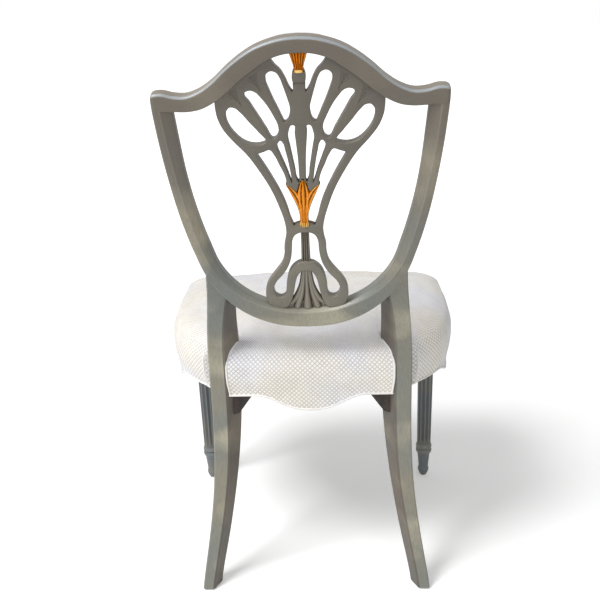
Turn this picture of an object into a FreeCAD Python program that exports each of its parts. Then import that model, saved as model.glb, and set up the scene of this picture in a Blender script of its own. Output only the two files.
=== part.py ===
"""Shield back side chair: carved shield, pierced splat, sabre back legs, fluted front legs, upholstered seat.

Millimetres.  The chair faces -Y and stands on Z = 0.  Its own left side is +X.
Shield pieces are drawn flat on the back plane (x across, w up the slope, depth to the front)
and are then leaned back by the rake.  Seat and legs are drawn upright.
"""

import FreeCAD
import Part
import math
import os

from FreeCAD import Placement, Rotation, Vector

doc = FreeCAD.newDocument("shield_chair")
sheet = doc.addObject("Spreadsheet::Sheet", "sizes")

# Driving sizes: alias, value, what it is.
SIZES = [
    ("rake_angle", 13.55, "lean of the back from upright, degrees"),
    ("rake_height", 450.0, "height where the leaning plane of the back crosses its zero line"),
    ("crest_rise", 537.0, "top of the crest, up the slope from the rake height"),
    ("crest_bar", 21.5, "height of the crest bar, measured up the slope"),
    ("ear_half_width", 206.8, "centre line to the tip of an ear"),
    ("ear_rise", 463.0, "top of an ear, up the slope"),
    ("shoulder_rise", 438.0, "joint of crest and stile, up the slope"),
    ("crest_dip", 4.0, "ear's tip above the dip beside it"),
    ("shield_bottom", 63.0, "lowest edge of the shield, up the slope"),
    ("shield_depth", 24.0, "front to back size of the shield frame"),
    ("moulding_depth", 8.5, "fall of the wide inner bevel"),
    ("frame_ease", 2.4, "eased long edges of the shield and the back legs"),
    ("splat_depth", 13.0, "thickness of the pierced splat board"),
    ("splat_setback", 4.5, "splat's back face inside the shield's back face"),
    ("fan_half_width", 118.0, "half width of the splat's fan"),
    ("lobe_half_width", 65.5, "half width of the splat's lower loops"),
    ("ornament_proud", 1.6, "gilt ornaments proud of the splat, each face"),
    ("stem_depth", 9.0, "thickness of the fluted stem"),
    ("stem_half_width", 6.4, "half width of the fluted stem"),
    ("glue_gap", 0.15, "clearance all round a joint's tongue or tenon"),
    ("seat_gap", 0.3, "clearance between soft pieces and wood"),
    ("dowel_diameter", 8.0, "joint dowel"),
    ("dowel_length", 34.0, "joint dowel"),
    ("post_setback", 2.4, "post's back face inside the shield's back face"),
    ("foot_glide_height", 3.0, "nail glide under each foot"),
    ("foot_glide_diameter", 14.0, "nail glide under each foot"),
    ("rail_top", 438.0, "top of the seat rails"),
    ("rail_bottom", 377.0, "lower edge of the seat rails"),
    ("rail_thickness", 22.0, "seat rail stock"),
    ("tenon_thickness", 9.0, "seat rail tenons"),
    ("tenon_length", 18.0, "seat rail tenons"),
    ("tenon_height", 36.0, "seat rail tenons"),
    ("leg_inset_side", 31.0, "front leg's axis inside the seat's half width"),
    ("leg_inset_front", 55.0, "front leg's axis behind the front of the seat"),
    ("leg_block", 36.0, "square block at the top of a front leg"),
    ("leg_block_bottom", 378.0, "underside of the front leg's block"),
    ("leg_top_diameter", 34.5, "front leg under its block"),
    ("leg_low_diameter", 29.5, "front leg above its collar"),
    ("collar_diameter", 34.0, "carved collar of a front leg"),
    ("collar_height", 68.0, "middle of the carved collar"),
    ("toe_top_diameter", 26.5, "toe under the collar"),
    ("toe_low_diameter", 20.5, "toe above its ring"),
    ("flute_count", 10, "flutes round a front leg"),
    ("flute_width", 5.2, "flute cutter's diameter at the top"),
    ("seat_half_width", 265.5, "widest half width of the seat"),
    ("seat_front", -398.0, "front of the seat's bow, from the zero line"),
    ("seat_crown", 487.0, "top of the seat's crown"),
    ("seat_edge_bottom", 374.0, "flat lower edge of the cover beside the legs"),
    ("seat_drop", 30.0, "fall of the shaped lower edge at its middle"),
    ("cover_thickness", 2.0, "upholstery cover with its lining"),
    ("padding_side", 9.0, "padding between a rail and the cover"),
    ("strap_width", 50.0, "jute webbing strap"),
    ("strap_thickness", 2.0, "jute webbing strap"),
    ("block_height", 34.0, "corner block"),
    ("screw_diameter", 4.5, "corner block screw"),
    ("screw_length", 38.0, "corner block screw"),
    ("dust_thickness", 1.0, "dust cover"),
    ("origin_shift", 136.6, "moves the zero line so that the origin is under the middle"),
]

for row, (alias, value, note) in enumerate(SIZES, start=1):
    sheet.set("A%d" % row, note)
    sheet.set("B%d" % row, str(value))
    sheet.setAlias("B%d" % row, alias)
doc.recompute()


def size(alias):
    """Value of one cell of the sheet."""
    return float(sheet.get(alias))


RAKE = math.radians(size("rake_angle"))
made = []


def lean_back(item):
    """Lean a piece drawn on the back plane: its Y runs up the slope and its Z runs to the front."""
    item.Placement = Placement(Vector(0, 0, 0), Rotation(Vector(1, 0, 0), 90))
    item.setExpression("Placement.Base.y", "sizes.origin_shift")
    item.setExpression("Placement.Base.z", "sizes.rake_height")
    item.setExpression("Placement.Rotation.Angle", "90 - sizes.rake_angle")


def stand_up(item):
    """Place a piece that is drawn upright."""
    item.setExpression("Placement.Base.y", "sizes.origin_shift")


def add_feature(label, shape, place=stand_up):
    """Put a worked-out shape into the document as one sub-part."""
    item = doc.addObject("Part::Feature", label)
    item.Label = label
    item.Shape = shape
    place(item)
    made.append(item)
    return item


def largest(shape):
    """Main solid of a cut piece, without the slivers beside it."""
    return max(shape.Solids, key=lambda solid: solid.Volume)


def cut_each(shape, cutters):
    """Cut by one tool after another."""
    for cutter in cutters:
        shape = shape.cut(cutter)
    return shape


def new_body(label, place):
    """Start a sub-part that is made from sketches."""
    body = doc.addObject("PartDesign::Body", label)
    body.Label = label
    place(body)
    made.append(body)
    return body


def sketch_on(body, name, plane, height=None):
    """Sketch on an origin plane of its own body, lifted by a sheet formula."""
    sketch = body.newObject("Sketcher::SketchObject", name)
    features = body.Origin.OriginFeatures
    sketch.AttachmentSupport = [(next(f for f in features if f.Role == plane), "")]
    sketch.MapMode = "FlatFace"
    if height:
        sketch.setExpression("AttachmentOffset.Base.z", height)
    return sketch


def spline(points, closed=False):
    """Smooth curve through points."""
    curve = Part.BSplineCurve()
    curve.interpolate(points, PeriodicFlag=closed)
    return curve


def run_curve(points):
    """Straight line through two points, smooth curve through more."""
    return Part.LineSegment(*points) if len(points) == 2 else spline(points)


def draw_runs(sketch, runs):
    """Draw a closed outline given as runs that meet end to end."""
    for points in runs:
        sketch.addGeometry(run_curve([Vector(across, up, 0) for across, up in points]), False)


def mirrored(points):
    """Right half of an outline drawn from the centre line outwards, in the same turning sense."""
    return [(-across, up) for across, up in reversed(points)]


def both_sides(points):
    """Whole smooth run from a half that starts on the centre line."""
    return mirrored(points)[:-1] + list(points)


def pad(body, sketch, length):
    """Pad a sketch by a sheet formula."""
    item = body.newObject("PartDesign::Pad", sketch.Name + "_pad")
    item.Profile = sketch
    item.setExpression("Length", length)
    return item


def pocket(body, sketch, length, reverse=False):
    """Pocket a sketch by a sheet formula."""
    item = body.newObject("PartDesign::Pocket", sketch.Name + "_pocket")
    item.Profile = sketch
    item.Reversed = reverse
    item.setExpression("Length", length)
    return item


def eased_wire(corners, eases):
    """Closed wire through corners, each cut across by its own small flat."""
    points = []
    count = len(corners)
    for index, corner in enumerate(corners):
        before = (corners[index - 1] - corner).normalize()
        after = (corners[(index + 1) % count] - corner).normalize()
        points.append(corner + before * eases[index])
        points.append(corner + after * eases[index])
    return Part.makePolygon(points + points[:1])


def stretched(points, half_width, low, high):
    """Scale a drawn outline to its named half width and to its named lowest and highest rise."""
    widest = max(point[0] for point in points)
    lowest = min(point[1] for point in points)
    span = max(point[1] for point in points) - lowest
    return [(point[0] * half_width / widest, low + (point[1] - lowest) * (high - low) / span)
            for point in points]


# Crest: half outlines of its upper and lower edge, from the centre line to the ear.
CREST_UPPER = [(0, 537), (20, 535.6), (40, 531), (60, 523.5), (80, 511.5), (100, 496), (120, 478),
               (140, 465), (158, 459), (175, 460), (191, 464), (206.8, 463)]
CREST_LOWER = [(0, 515.5), (20, 513.6), (40, 507.3), (60, 494.6), (80, 480), (100, 462.8),
               (120, 448.5), (140, 439.5), (158, 437), (175, 437.6), (191, 438), (206.8, 438)]


def crest_edge(points, low, high):
    """Crest outline fitted to the ear's half width."""
    return stretched(points, size("ear_half_width"), low, high)


crest_fall = size("crest_rise") - size("crest_bar")
upper_edge = crest_edge(CREST_UPPER, size("ear_rise") - size("crest_dip"), size("crest_rise"))
lower_edge = crest_edge(CREST_LOWER, size("shoulder_rise") - 1.0, crest_fall)


def frame_section(outer, turn, strip, bevel):
    """Section of the shield frame: a flat strip, then a wide bevel that falls to the inner edge."""
    inward = Vector(-math.cos(math.radians(turn)), math.sin(math.radians(turn)), 0)
    start = Vector(outer[0], outer[1], 0)
    ridge = start + inward * strip
    inner = start + inward * (strip + bevel)
    fall = Vector(0, 0, size("moulding_depth"))
    front = Vector(0, 0, size("shield_depth"))
    soft = size("frame_ease")
    return eased_wire([start, ridge, inner + fall, inner + front, start + front],
                        [soft, soft, soft / 2, soft, soft])


def reflected(shape):
    """Mirror image of a shape across the chair's centre plane."""
    return shape.mirror(Vector(0, 0, 0), Vector(1, 0, 0))


# Shield frame: outer edge (across, up), turn of the section, width of its strip and of its bevel.
SHIELD = [(206.2, 438, 0, 10.7, 16.5), (202.9, 394, 4, 10.9, 16.0), (195.8, 331, 5, 11.8, 13.5),
          (185.2, 266, 11, 12.6, 12.5), (171.2, 208, 16, 13.2, 12.0), (157.6, 166, 27, 14.5, 10.5),
          (127.0, 117, 41, 20.5, 7.5), (98.0, 91.0, 54, 25.0, 5.5), (72.0, 76.5, 66, 27.0, 5.0),
          (45.0, 67.3, 75, 28.0, 5.0), (22.0, 64.0, 83, 28.0, 5.0), (0.0, 63.0, 90, 28.0, 5.0)]
JOINT_STATION = 6

outer_edge = stretched(SHIELD, size("ear_half_width") - 0.6, size("shield_bottom"), size("shoulder_rise"))
sections = [frame_section(outer, *station[2:]) for outer, station in zip(outer_edge, SHIELD)]
far_side = [reflected(wire) for wire in reversed(sections[:-1])]
whole_shield = Part.makeLoft(sections + far_side, True, False)


def joint_wedge(side):
    """Everything beyond one joint of the shield, on the stile's side of its slanting plane."""
    across, up = outer_edge[JOINT_STATION]
    turn = math.radians(SHIELD[JOINT_STATION][2])
    reach = size("ear_half_width") * 2
    along = Vector(-math.cos(turn), math.sin(turn), 0)
    beyond = Vector(math.sin(turn), math.cos(turn), 0)
    low = Vector(across, up, -reach) - along * reach
    corners = [low, low + along * reach * 1.6, low + along * reach * 1.6 + beyond * reach, low + beyond * reach]
    wedge = Part.Face(Part.makePolygon(corners + [low])).extrude(Vector(0, 0, 2 * reach))
    return wedge if side > 0 else reflected(wedge)


wedges = [joint_wedge(1), joint_wedge(-1)]
stile_left = whole_shield.common(wedges[0])
stile_right = reflected(stile_left)
base_rail = whole_shield.cut(wedges[0]).cut(wedges[1])


def crest_section(upper, lower):
    """Upright section of the crest with soft edges."""
    across = upper[0]
    depth = size("shield_depth")
    corners = [Vector(across, lower[1], 0), Vector(across, lower[1], depth),
               Vector(across, upper[1], depth), Vector(across, upper[1], 0)]
    return eased_wire(corners, [size("frame_ease")] * 4)


crest_sections = [crest_section(*pair) for pair in zip(both_sides(upper_edge), both_sides(lower_edge))]
crest = Part.makeLoft(crest_sections, True, False)
stile_left = stile_left.cut(crest)
stile_right = stile_right.cut(crest)

# Pierced splat: runs that meet end to end; those on the centre line are mirrored.
FAN_TOP = [(41, 513), (60, 499.5), (80, 485), (100, 468), (118, 455)]
FAN_SIDE = [(118, 455), (118, 440), (116.6, 427), (110.7, 410), (97, 390), (80, 370), (61.4, 340),
            (46.4, 310), (35.9, 280), (30.4, 260), (28.1, 242), (29, 230), (32, 215), (32.6, 200),
            (36.5, 184), (45.5, 170), (55, 157), (61.8, 145), (65.5, 130), (64, 114), (58, 103.5),
            (48, 99), (40, 98.5), (31, 102), (26.5, 110), (22.9, 120), (20.6, 130), (18.8, 140),
            (16.6, 151), (13, 160.5), (7.5, 167.5), (0, 170)]
FAN_NOTCH = [(8.5, 473), (9.3, 460), (13.2, 466), (19, 480), (24.5, 490), (32, 498), (41, 513)]
COLUMN = [(0, 487.5), (8.5, 487.5), (8.5, 473)]
STEM_WINDOW = [(0, 238), (7.5, 237.4), (14.7, 233.5), (19.1, 225), (20.6, 210), (21.5, 200),
               (23.6, 189), (31.5, 170), (38.6, 160), (47.6, 149), (52, 138), (52, 130),
               (49, 122.5), (42, 119), (35.8, 121.5), (33, 128), (32.2, 140), (30.3, 152),
               (27, 165), (20.6, 176), (11.5, 183), (0, 185.5)]
LOTUS_WINDOW_SIDE = [(16, 250), (20.3, 262.5), (25, 282), (29.5, 296), (35, 310),
                     (41.5, 324), (48.5, 338.5), (56, 352.5), (65, 368.5)]
LOTUS_WINDOW_TOP = [(65, 368.5), (55, 371.8), (45.7, 374.6), (39.3, 366), (32.9, 351), (27, 337),
                    (24.3, 326), (24.3, 317.8)]
LOTUS_SIDE_PETAL = [(24.3, 317.8), (17.2, 313.6), (9.6, 307)]
LOTUS_TOP_PETAL = [(9.6, 307), (7.3, 313.5), (5.9, 320), (3.2, 325), (0, 326.5)]
LOTUS_BODY = [(6.4, 250), (6.8, 258), (6, 266), (7.1, 276), (9.5, 288), (13.2, 299), (18.3, 309),
              (24.3, 317.8)]
PETALS = [
    [[(50, 387), (61, 383.2), (72, 384), (82, 388.5), (92, 398), (100, 410), (104.2, 424),
      (103, 434), (97.5, 440), (90.5, 439), (84, 433), (71.4, 417), (60.5, 403.5), (50, 387)]],
    [[(38.5, 391.5), (48.6, 407), (55.7, 420), (62.9, 433), (70, 446), (76.2, 456), (75, 461),
      (68.5, 463.6), (60, 460.5), (54.3, 454), (48.6, 446.5), (42.9, 437), (37, 425),
      (32, 412.5), (31.5, 402), (34, 395), (38.5, 391.5)]],
    [[(21.8, 416), (25, 422), (29.5, 433), (35.5, 447), (41.5, 463), (45.5, 477), (44.2, 486),
      (38, 490), (30.5, 487.5), (26, 480), (22.3, 469), (19, 458), (16.2, 448), (14.2, 439.5),
      (14.6, 428), (17.5, 419.5), (21.8, 416)]],
    [[(15.6, 322), (17, 336), (18.8, 349), (21, 362), (23.7, 375), (26, 384.5), (29.5, 388.6),
      (34, 383.5), (34.2, 377), (30.6, 366), (26, 353), (21.5, 340), (17.9, 328), (15.6, 322)]],
    [[(6.2, 323), (5.3, 344), (5.9, 362), (7.3, 381), (8.8, 399), (9.9, 411.5), (12.3, 411.5),
      (17.4, 401.5), (18.4, 392), (16, 377), (13.2, 360), (10.4, 343), (8.4, 328), (6.2, 323)]]]
PLUME = [(7.2, 176), (8.6, 160), (9.9, 143), (11.6, 129), (15.2, 117.5), (21.5, 109), (27, 103.5)]
TASSEL = [(12.6, 514), (10.4, 505), (7.8, 497), (6.3, 491), (7.0, 487.5)]


def splat_drawing(points):
    """Fit drawn splat points to the named half widths of the fan and of the lower loops."""
    fan = size("fan_half_width") / 118
    loops = size("lobe_half_width") / 65.5
    return [(across * (fan if up > 240 else loops), up) for across, up in points]


def splat_runs(*groups):
    """Fit every run of an outline."""
    return [splat_drawing(points) for points in groups]


def centred_outline(start_half, sides, end_half):
    """Closed outline from its +X half: out from the centre line, round, and back to it."""
    start, end = splat_drawing(start_half), splat_drawing(end_half)
    flat_start = len(start) == 2
    first = [mirrored(start)[0], start[-1]] if flat_start else both_sides(start)
    runs = [first] + [splat_drawing(points) for points in sides]
    runs.append(end + mirrored(end)[1:])
    runs.extend(mirrored(splat_drawing(points)) for points in reversed(sides))
    return runs


def draw_ring(sketch, half):
    """Draw a smooth closed outline that crosses the centre line at both its ends."""
    fitted = splat_drawing(half)
    ring = fitted + mirrored(fitted)[1:-1]
    sketch.addGeometry(spline([Vector(across, up, 0) for across, up in ring], True), False)


fret = new_body("splat_fret", lean_back)
board = sketch_on(fret, "fret_outline", "XY_Plane", "sizes.splat_setback")
draw_runs(board, centred_outline(COLUMN[:2], [COLUMN[1:], FAN_NOTCH, FAN_TOP], FAN_SIDE))
draw_ring(board, STEM_WINDOW)
draw_runs(board, centred_outline([(0, 250), (16, 250)], [LOTUS_WINDOW_SIDE, LOTUS_WINDOW_TOP, LOTUS_SIDE_PETAL],
                                 LOTUS_TOP_PETAL))
for petal in PETALS:
    fitted = splat_runs(*petal)
    draw_runs(board, fitted)
    draw_runs(board, [mirrored(points) for points in fitted])
pad(fret, board, "sizes.splat_depth")
lap = sketch_on(fret, "stem_lap", "XY_Plane", "sizes.splat_setback + sizes.splat_depth")
half_lap = size("stem_half_width") + size("glue_gap")
PLUME_TOP = 176.0
STEM_TOP = 245.0
LAP_LOW = 160.0
lap_ring = [(-half_lap - 1, LAP_LOW), (half_lap + 1, LAP_LOW), (half_lap + 1, STEM_TOP), (-half_lap - 1, STEM_TOP)]
draw_runs(lap, [[lap_ring[index], lap_ring[(index + 1) % 4]] for index in range(4)])
pocket(fret, lap, "sizes.stem_depth + sizes.glue_gap")

# Stem and plume: fluted stem lapped behind the band and the arch, leaves spreading under it.
HALF_STEM = size("stem_half_width")
BAND_LAP_TOP = 244.6
stem = new_body("splat_stem", lean_back)
stem_sketch = sketch_on(stem, "stem_outline", "XY_Plane",
                        "sizes.splat_setback + sizes.splat_depth - sizes.stem_depth")
stem_ring = [(-HALF_STEM - 0.8, PLUME_TOP), (HALF_STEM + 0.8, PLUME_TOP), (HALF_STEM, BAND_LAP_TOP),
             (-HALF_STEM, BAND_LAP_TOP)]
draw_runs(stem_sketch, [[stem_ring[index], stem_ring[(index + 1) % 4]] for index in range(4)])
pad(stem, stem_sketch, "sizes.stem_depth")

plume_face = Part.Face(Part.Wire([
    run_curve([Vector(across, up, 0) for across, up in points]).toShape()
    for points in (PLUME, [PLUME[-1], (27, 90)], [(27, 90), (-27, 90)], [(-27, 90), mirrored(PLUME)[0]],
                   mirrored(PLUME), [mirrored(PLUME)[-1], PLUME[0]])]))
plume_back = size("splat_setback") + 1.0
plume_face.translate(Vector(0, 0, plume_back))
plume = plume_face.extrude(Vector(0, 0, size("splat_depth") - 2.0))
plume = plume.cut(base_rail)


def ornament(label, runs):
    """Gilt ornament a little thicker than the board it stands in."""
    body = new_body(label, lean_back)
    drawing = sketch_on(body, label + "_outline", "XY_Plane", "sizes.splat_setback - sizes.ornament_proud")
    draw_runs(drawing, runs)
    pad(body, drawing, "sizes.splat_depth + 2 * sizes.ornament_proud")
    return body


ornament("gilt_lotus", centred_outline([(0, 250), LOTUS_BODY[0]], [LOTUS_BODY, LOTUS_SIDE_PETAL], LOTUS_TOP_PETAL))
ornament("gilt_tassel", centred_outline([(0, 487.5), TASSEL[-1]], [list(reversed(TASSEL))],
                                        [TASSEL[0], (6.5, 515.0), (0, 515.3)]))

# Back legs: section corners by height. Height, outer edge, back ridge, front inner edge, back, front.
BACK_LEG = [(0, 206.5, 186.5, 173, 37.5, 12), (40, 201, 180, 166.5, 28.5, 1.5), (90, 192.5, 170.5, 156, 18, -11),
            (150, 183.5, 160, 145, 8.5, -23), (215, 176.5, 151, 135, 1.5, -33), (285, 173, 145.5, 127, -3.5, -40.5),
            (350, 172, 144, 122, -6, -44), (405, 172, 144, 119.5, -6, -44.5), (450, 171.5, 144, 119, -2.5, -38),
            (495, 168.5, 141, 119, 8.4, -25), (540, 164, 134.5, 118, 19.2, -11), (585, 160, 125, 112, 30, 2),
            (630, 158, 118, 106, 41, 15)]


def leg_section(row, grow=0.0):
    """Level section of a back leg: its inner side is turned to face the middle of the seat."""
    level, outer, ridge, inner, back, front = row
    corners = [Vector(outer + grow, back + grow, level), Vector(ridge - grow, back + grow, level),
               Vector(inner - grow, front - grow, level), Vector(outer - 1.5 + grow, front - grow, level)]
    return eased_wire(corners, [size("frame_ease")] * 4)


back_leg = Part.makeLoft([leg_section(row) for row in BACK_LEG], True, False)
back_leg = back_leg.cut(Part.makeBox(600, 600, size("foot_glide_height"), Vector(-300, -300, 0)))
lean = Placement(Vector(0, 0, size("rake_height")), Rotation(Vector(1, 0, 0), 90 - size("rake_angle")))
core_wire = Part.makePolygon([Vector(outer_edge[4][0] - 12, outer_edge[4][1], -60)]
                             + [Vector(p[0] - 10, p[1] + 8, -60) for p in outer_edge[5:9]]
                             + [Vector(0, outer_edge[8][1] + 30, -60), Vector(0, outer_edge[4][1], -60),
                                Vector(outer_edge[4][0] - 12, outer_edge[4][1], -60)])
core = Part.Face(core_wire).extrude(Vector(0, 0, 160))
placed_core = core.copy()
placed_core.Placement = lean
placed_shield = whole_shield.copy()
placed_shield.Placement = lean
back_leg = largest(back_leg.cut(placed_shield.fuse(placed_core)))

# Seat plan: half outline from the back panel round to the middle of the front.
SEAT_SIDE = [(172, -6), (184, -44), (206, -66), (231, -97), (250, -137), (261, -185), (265, -235),
             (265.5, -290), (264, -335)]
SEAT_CORNER = [(264, -335), (262, -365), (243, -380)]
SEAT_BOW = [(243, -380), (180, -386), (90, -395), (0, -398)]
DRAWN_HALF, DRAWN_FRONT = 265.5, -398.0
TOP = size("rail_top")
SKIN = size("cover_thickness") + size("padding_side")
LEG_X = size("seat_half_width") - size("leg_inset_side")
LEG_Y = size("seat_front") + size("leg_inset_front")
HALF_BLOCK = size("leg_block") / 2


def seat_plan(points):
    """Fit drawn plan points to the seat's named half width and front."""
    wide, deep = size("seat_half_width") / DRAWN_HALF, size("seat_front") / DRAWN_FRONT
    return [(across * wide, along * deep) for across, along in points]


def inset_line(points, inset):
    """Line moved towards the middle of the seat, square to its own run."""
    moved = []
    for index, (across, along) in enumerate(points):
        before = points[max(index - 1, 0)]
        after = points[min(index + 1, len(points) - 1)]
        run = Vector(after[0] - before[0], after[1] - before[1], 0).normalize()
        moved.append((across + run.y * inset, along - run.x * inset))
    return moved


def plan_wire(runs, level):
    """Closed level wire from plan runs."""
    return Part.Wire([run_curve([Vector(x, y, level) for x, y in points]).toShape() for points in runs])


def upright_pad(runs, low, high):
    """Upright prism over a closed plan outline."""
    return Part.Face(plan_wire(runs, low)).extrude(Vector(0, 0, high - low))


def polygon_runs(points):
    """Straight runs round a closed polygon."""
    return [[points[index], points[(index + 1) % len(points)]] for index in range(len(points))]


def band_runs(line, near, far):
    """Closed outline between two insets of one line."""
    outer, inner = inset_line(line, near), inset_line(line, far)
    return [outer, [outer[-1], inner[-1]], list(reversed(inner)), [inner[0], outer[0]]]


def box_between(low, high):
    """Box between two corners."""
    return Part.makeBox(high[0] - low[0], high[1] - low[1], high[2] - low[2], Vector(*low))


# Shaped lower edges: level at the legs, swept down at the middle of the back, the sides and the front.
SIDE_SPAN, FRONT_SPAN, SIDE_MIDDLE = 98.0, 150.0, -192.0
SWEEP_STEPS = 8
FAR = 330.0


def swept_edge(flat, half_span):
    """Points of one shaped lower edge, about its own middle."""
    drop = size("seat_drop")
    steps = range(-SWEEP_STEPS, SWEEP_STEPS + 1)
    return [(half_span * step / SWEEP_STEPS, flat - drop / 2 * (1 + math.cos(math.pi * step / SWEEP_STEPS)))
            for step in steps]


def below_edge(flat, half_span, middle):
    """Closed outline of everything below a shaped lower edge."""
    curve = [(middle + along, level) for along, level in swept_edge(flat, half_span)]
    floor = flat - 2 * size("seat_drop") - 30
    ends = [(FAR, flat), (FAR, floor), (-FAR - 100, floor), (-FAR - 100, flat)]
    return [curve, [curve[-1], ends[0]], [ends[0], ends[1]], [ends[1], ends[2]], [ends[2], ends[3]],
            [ends[3], curve[0]]]


def edge_cutters(flat):
    """Tools under the lower edges of the back, the left side, the right side and the front."""
    def across(half_span, near, far):
        edges = [run_curve([Vector(x, near, level) for x, level in points]).toShape()
                 for points in below_edge(flat, half_span, 0)]
        return Part.Face(Part.Wire(edges)).extrude(Vector(0, far - near, 0))

    edges = [run_curve([Vector(130, y, level) for y, level in points]).toShape()
             for points in below_edge(flat, SIDE_SPAN, SIDE_MIDDLE)]
    side = Part.Face(Part.Wire(edges)).extrude(Vector(FAR - 130, 0, 0))
    return [across(SIDE_SPAN, -70, 30), side, reflected(side), across(FRONT_SPAN, -440, -322)]


# Seat rails: sawn to the seat's plan, tenoned into the legs.
rail_flat = size("rail_bottom")
rail_low = rail_flat - size("seat_drop") - 1
rail_cutters = edge_cutters(rail_flat)
plan_side = seat_plan(SEAT_SIDE)
plan_corner = seat_plan(SEAT_CORNER)
plan_bow = seat_plan(SEAT_BOW)
THICK = size("rail_thickness")
BACK_FACE = -14.0
leg_column = box_between((LEG_X - HALF_BLOCK, LEG_Y - HALF_BLOCK, 0), (LEG_X + HALF_BLOCK, LEG_Y + HALF_BLOCK, TOP))
past_shoulder = box_between((0, -FAR - 100, 0), (FAR, LEG_Y + HALF_BLOCK, TOP))
side_rail = upright_pad(band_runs(plan_side, SKIN, SKIN + THICK), rail_low, TOP)
side_rail = largest(cut_each(side_rail, [rail_cutters[1], back_leg, past_shoulder]))

back_rail = box_between((-150, BACK_FACE - THICK, rail_low), (150, BACK_FACE, TOP))
back_rail = largest(cut_each(back_rail, [rail_cutters[0], back_leg, reflected(back_leg)]))

half_front = LEG_X - HALF_BLOCK
whole_bow = both_sides(list(reversed(plan_bow)))[::-1]
between_legs = box_between((-half_front, -FAR - 100, 0), (half_front, 0, TOP))
front_rail = upright_pad(band_runs(whole_bow, SKIN, SKIN + THICK), rail_low, TOP)
front_rail = front_rail.common(between_legs).cut(rail_cutters[3])

# Tenons of the seat rails and their mortises.
TENON_MIDDLE = (TOP + rail_flat) / 2
TENON = size("tenon_thickness")
REACH = size("tenon_length")
POST_FACE = -44.7
SHOULDER = LEG_Y + HALF_BLOCK


def tenon(low, high, grow=0.0):
    """Upright tenon between two corners of its plan, or its mortise when grown by the glue gap."""
    half = size("tenon_height") / 2 + grow
    return box_between((low[0] - grow, low[1] - grow, TENON_MIDDLE - half),
                       (high[0] + grow, high[1] + grow, TENON_MIDDLE + half))


GLUE = size("glue_gap")
TENONS = {"back": ((118.0, -29.5), (118.0 + REACH + 11, -29.5 + TENON)),
          "side_rear": ((150.0, POST_FACE - 3), (150.0 + TENON, POST_FACE + REACH)),
          "side_front": ((LEG_X + 4.5, SHOULDER - REACH), (LEG_X + 4.5 + TENON, SHOULDER + 1)),
          "front": ((half_front - 1, LEG_Y - 15), (half_front + REACH, LEG_Y - 15 + TENON))}
back_tenon, side_rear, side_front, front_tenon = [tenon(*TENONS[name]) for name in TENONS]
back_hole, side_rear_hole, side_front_hole, front_hole = [tenon(*TENONS[name], GLUE) for name in TENONS]
back_rail = back_rail.fuse([back_tenon, reflected(back_tenon)]).removeSplitter()
side_rail = side_rail.fuse([side_rear, side_front]).removeSplitter()
front_rail = front_rail.fuse([front_tenon, reflected(front_tenon)]).removeSplitter()
back_leg = cut_each(back_leg, [back_hole, side_rear_hole])

# Corner blocks inside the frame, and the dark brackets that show under the back rail.
FRONT_BLOCK = [(LEG_X - 66, LEG_Y - 17), (LEG_X + 14, LEG_Y - 17), (LEG_X + 14, LEG_Y + 71), (LEG_X - 8, LEG_Y + 71)]
BACK_BLOCK = [(84, -30), (150, -30), (204, -112), (186, -112)]
half_height = size("block_height") / 2
BLOCK_LOW, BLOCK_HIGH = TENON_MIDDLE - half_height, TENON_MIDDLE + half_height
front_block = upright_pad(polygon_runs(FRONT_BLOCK), BLOCK_LOW, BLOCK_HIGH)
front_block = largest(cut_each(front_block, [front_rail, side_rail, leg_column]))
back_block = upright_pad(polygon_runs(BACK_BLOCK), BLOCK_LOW, BLOCK_HIGH)
back_block = largest(cut_each(back_block, [back_rail, side_rail, back_leg]))
BRACKET = [(97, rail_flat), (150, rail_flat), (150, 330), (126, 336)]
bracket_face = Part.Face(Part.makePolygon([Vector(x, -39, level) for x, level in BRACKET + BRACKET[:1]]))
bracket = largest(cut_each(bracket_face.extrude(Vector(0, 20, 0)), [back_leg, back_rail]))


def screw(start, toward, grow=0.0):
    """Countersunk screw from its head's face towards a point; grown, it is its own hole."""
    run = (toward - start).normalize()
    radius = size("screw_diameter") / 2 + grow
    shank = Part.makeCylinder(radius, size("screw_length") + grow, start, run)
    head = Part.makeCone(2 * radius + grow, radius, 4.0, start, run)
    return shank.fuse(head)


SCREWS = [(Vector(LEG_X - 34, LEG_Y + 26.5, TENON_MIDDLE), Vector(LEG_X, LEG_Y, TENON_MIDDLE)),
          (Vector(134.0, -66.5, TENON_MIDDLE), Vector(142.0, -30.0, TENON_MIDDLE))]
holes = [screw(*ends, grow=GLUE) for ends in SCREWS]
front_block = front_block.cut(holes[0])
back_block = back_block.cut(holes[1])
back_leg = back_leg.cut(holes[1])
back_rail = cut_each(back_rail, [holes[1], reflected(holes[1])])
screws = [screw(*ends) for ends in SCREWS]

# Dowels of the shield: centre (across, up) and direction, in the shield's own plane.
DOWELS = [((192.5, size("shoulder_rise")), (0, 1)), ((116.5, 127.0), (0.66, 0.75)), ((141.0, 137.0), (-0.35, 0.94))]
DOWEL_DEEP = 14.0


def dowel(centre, direction, grow=0.0):
    """Dowel about its middle, or its hole when grown."""
    run = Vector(direction[0], direction[1], 0).normalize()
    length = size("dowel_length") + 2 * grow
    start = Vector(centre[0], centre[1], DOWEL_DEEP) - run * (length / 2)
    return Part.makeCylinder(size("dowel_diameter") / 2 + grow, length, start, run)


dowel_holes = [dowel(*place, grow=GLUE) for place in DOWELS]
dowel_holes += [reflected(hole) for hole in dowel_holes]
crest = cut_each(crest, dowel_holes)
stile_left = cut_each(stile_left, dowel_holes)
stile_right = cut_each(stile_right, dowel_holes)
base_rail = cut_each(base_rail, dowel_holes)
leaning_hole = dowel_holes[2].copy()
leaning_hole.Placement = lean
back_leg = back_leg.cut(leaning_hole)
dowels = [dowel(*place) for place in DOWELS]

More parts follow.
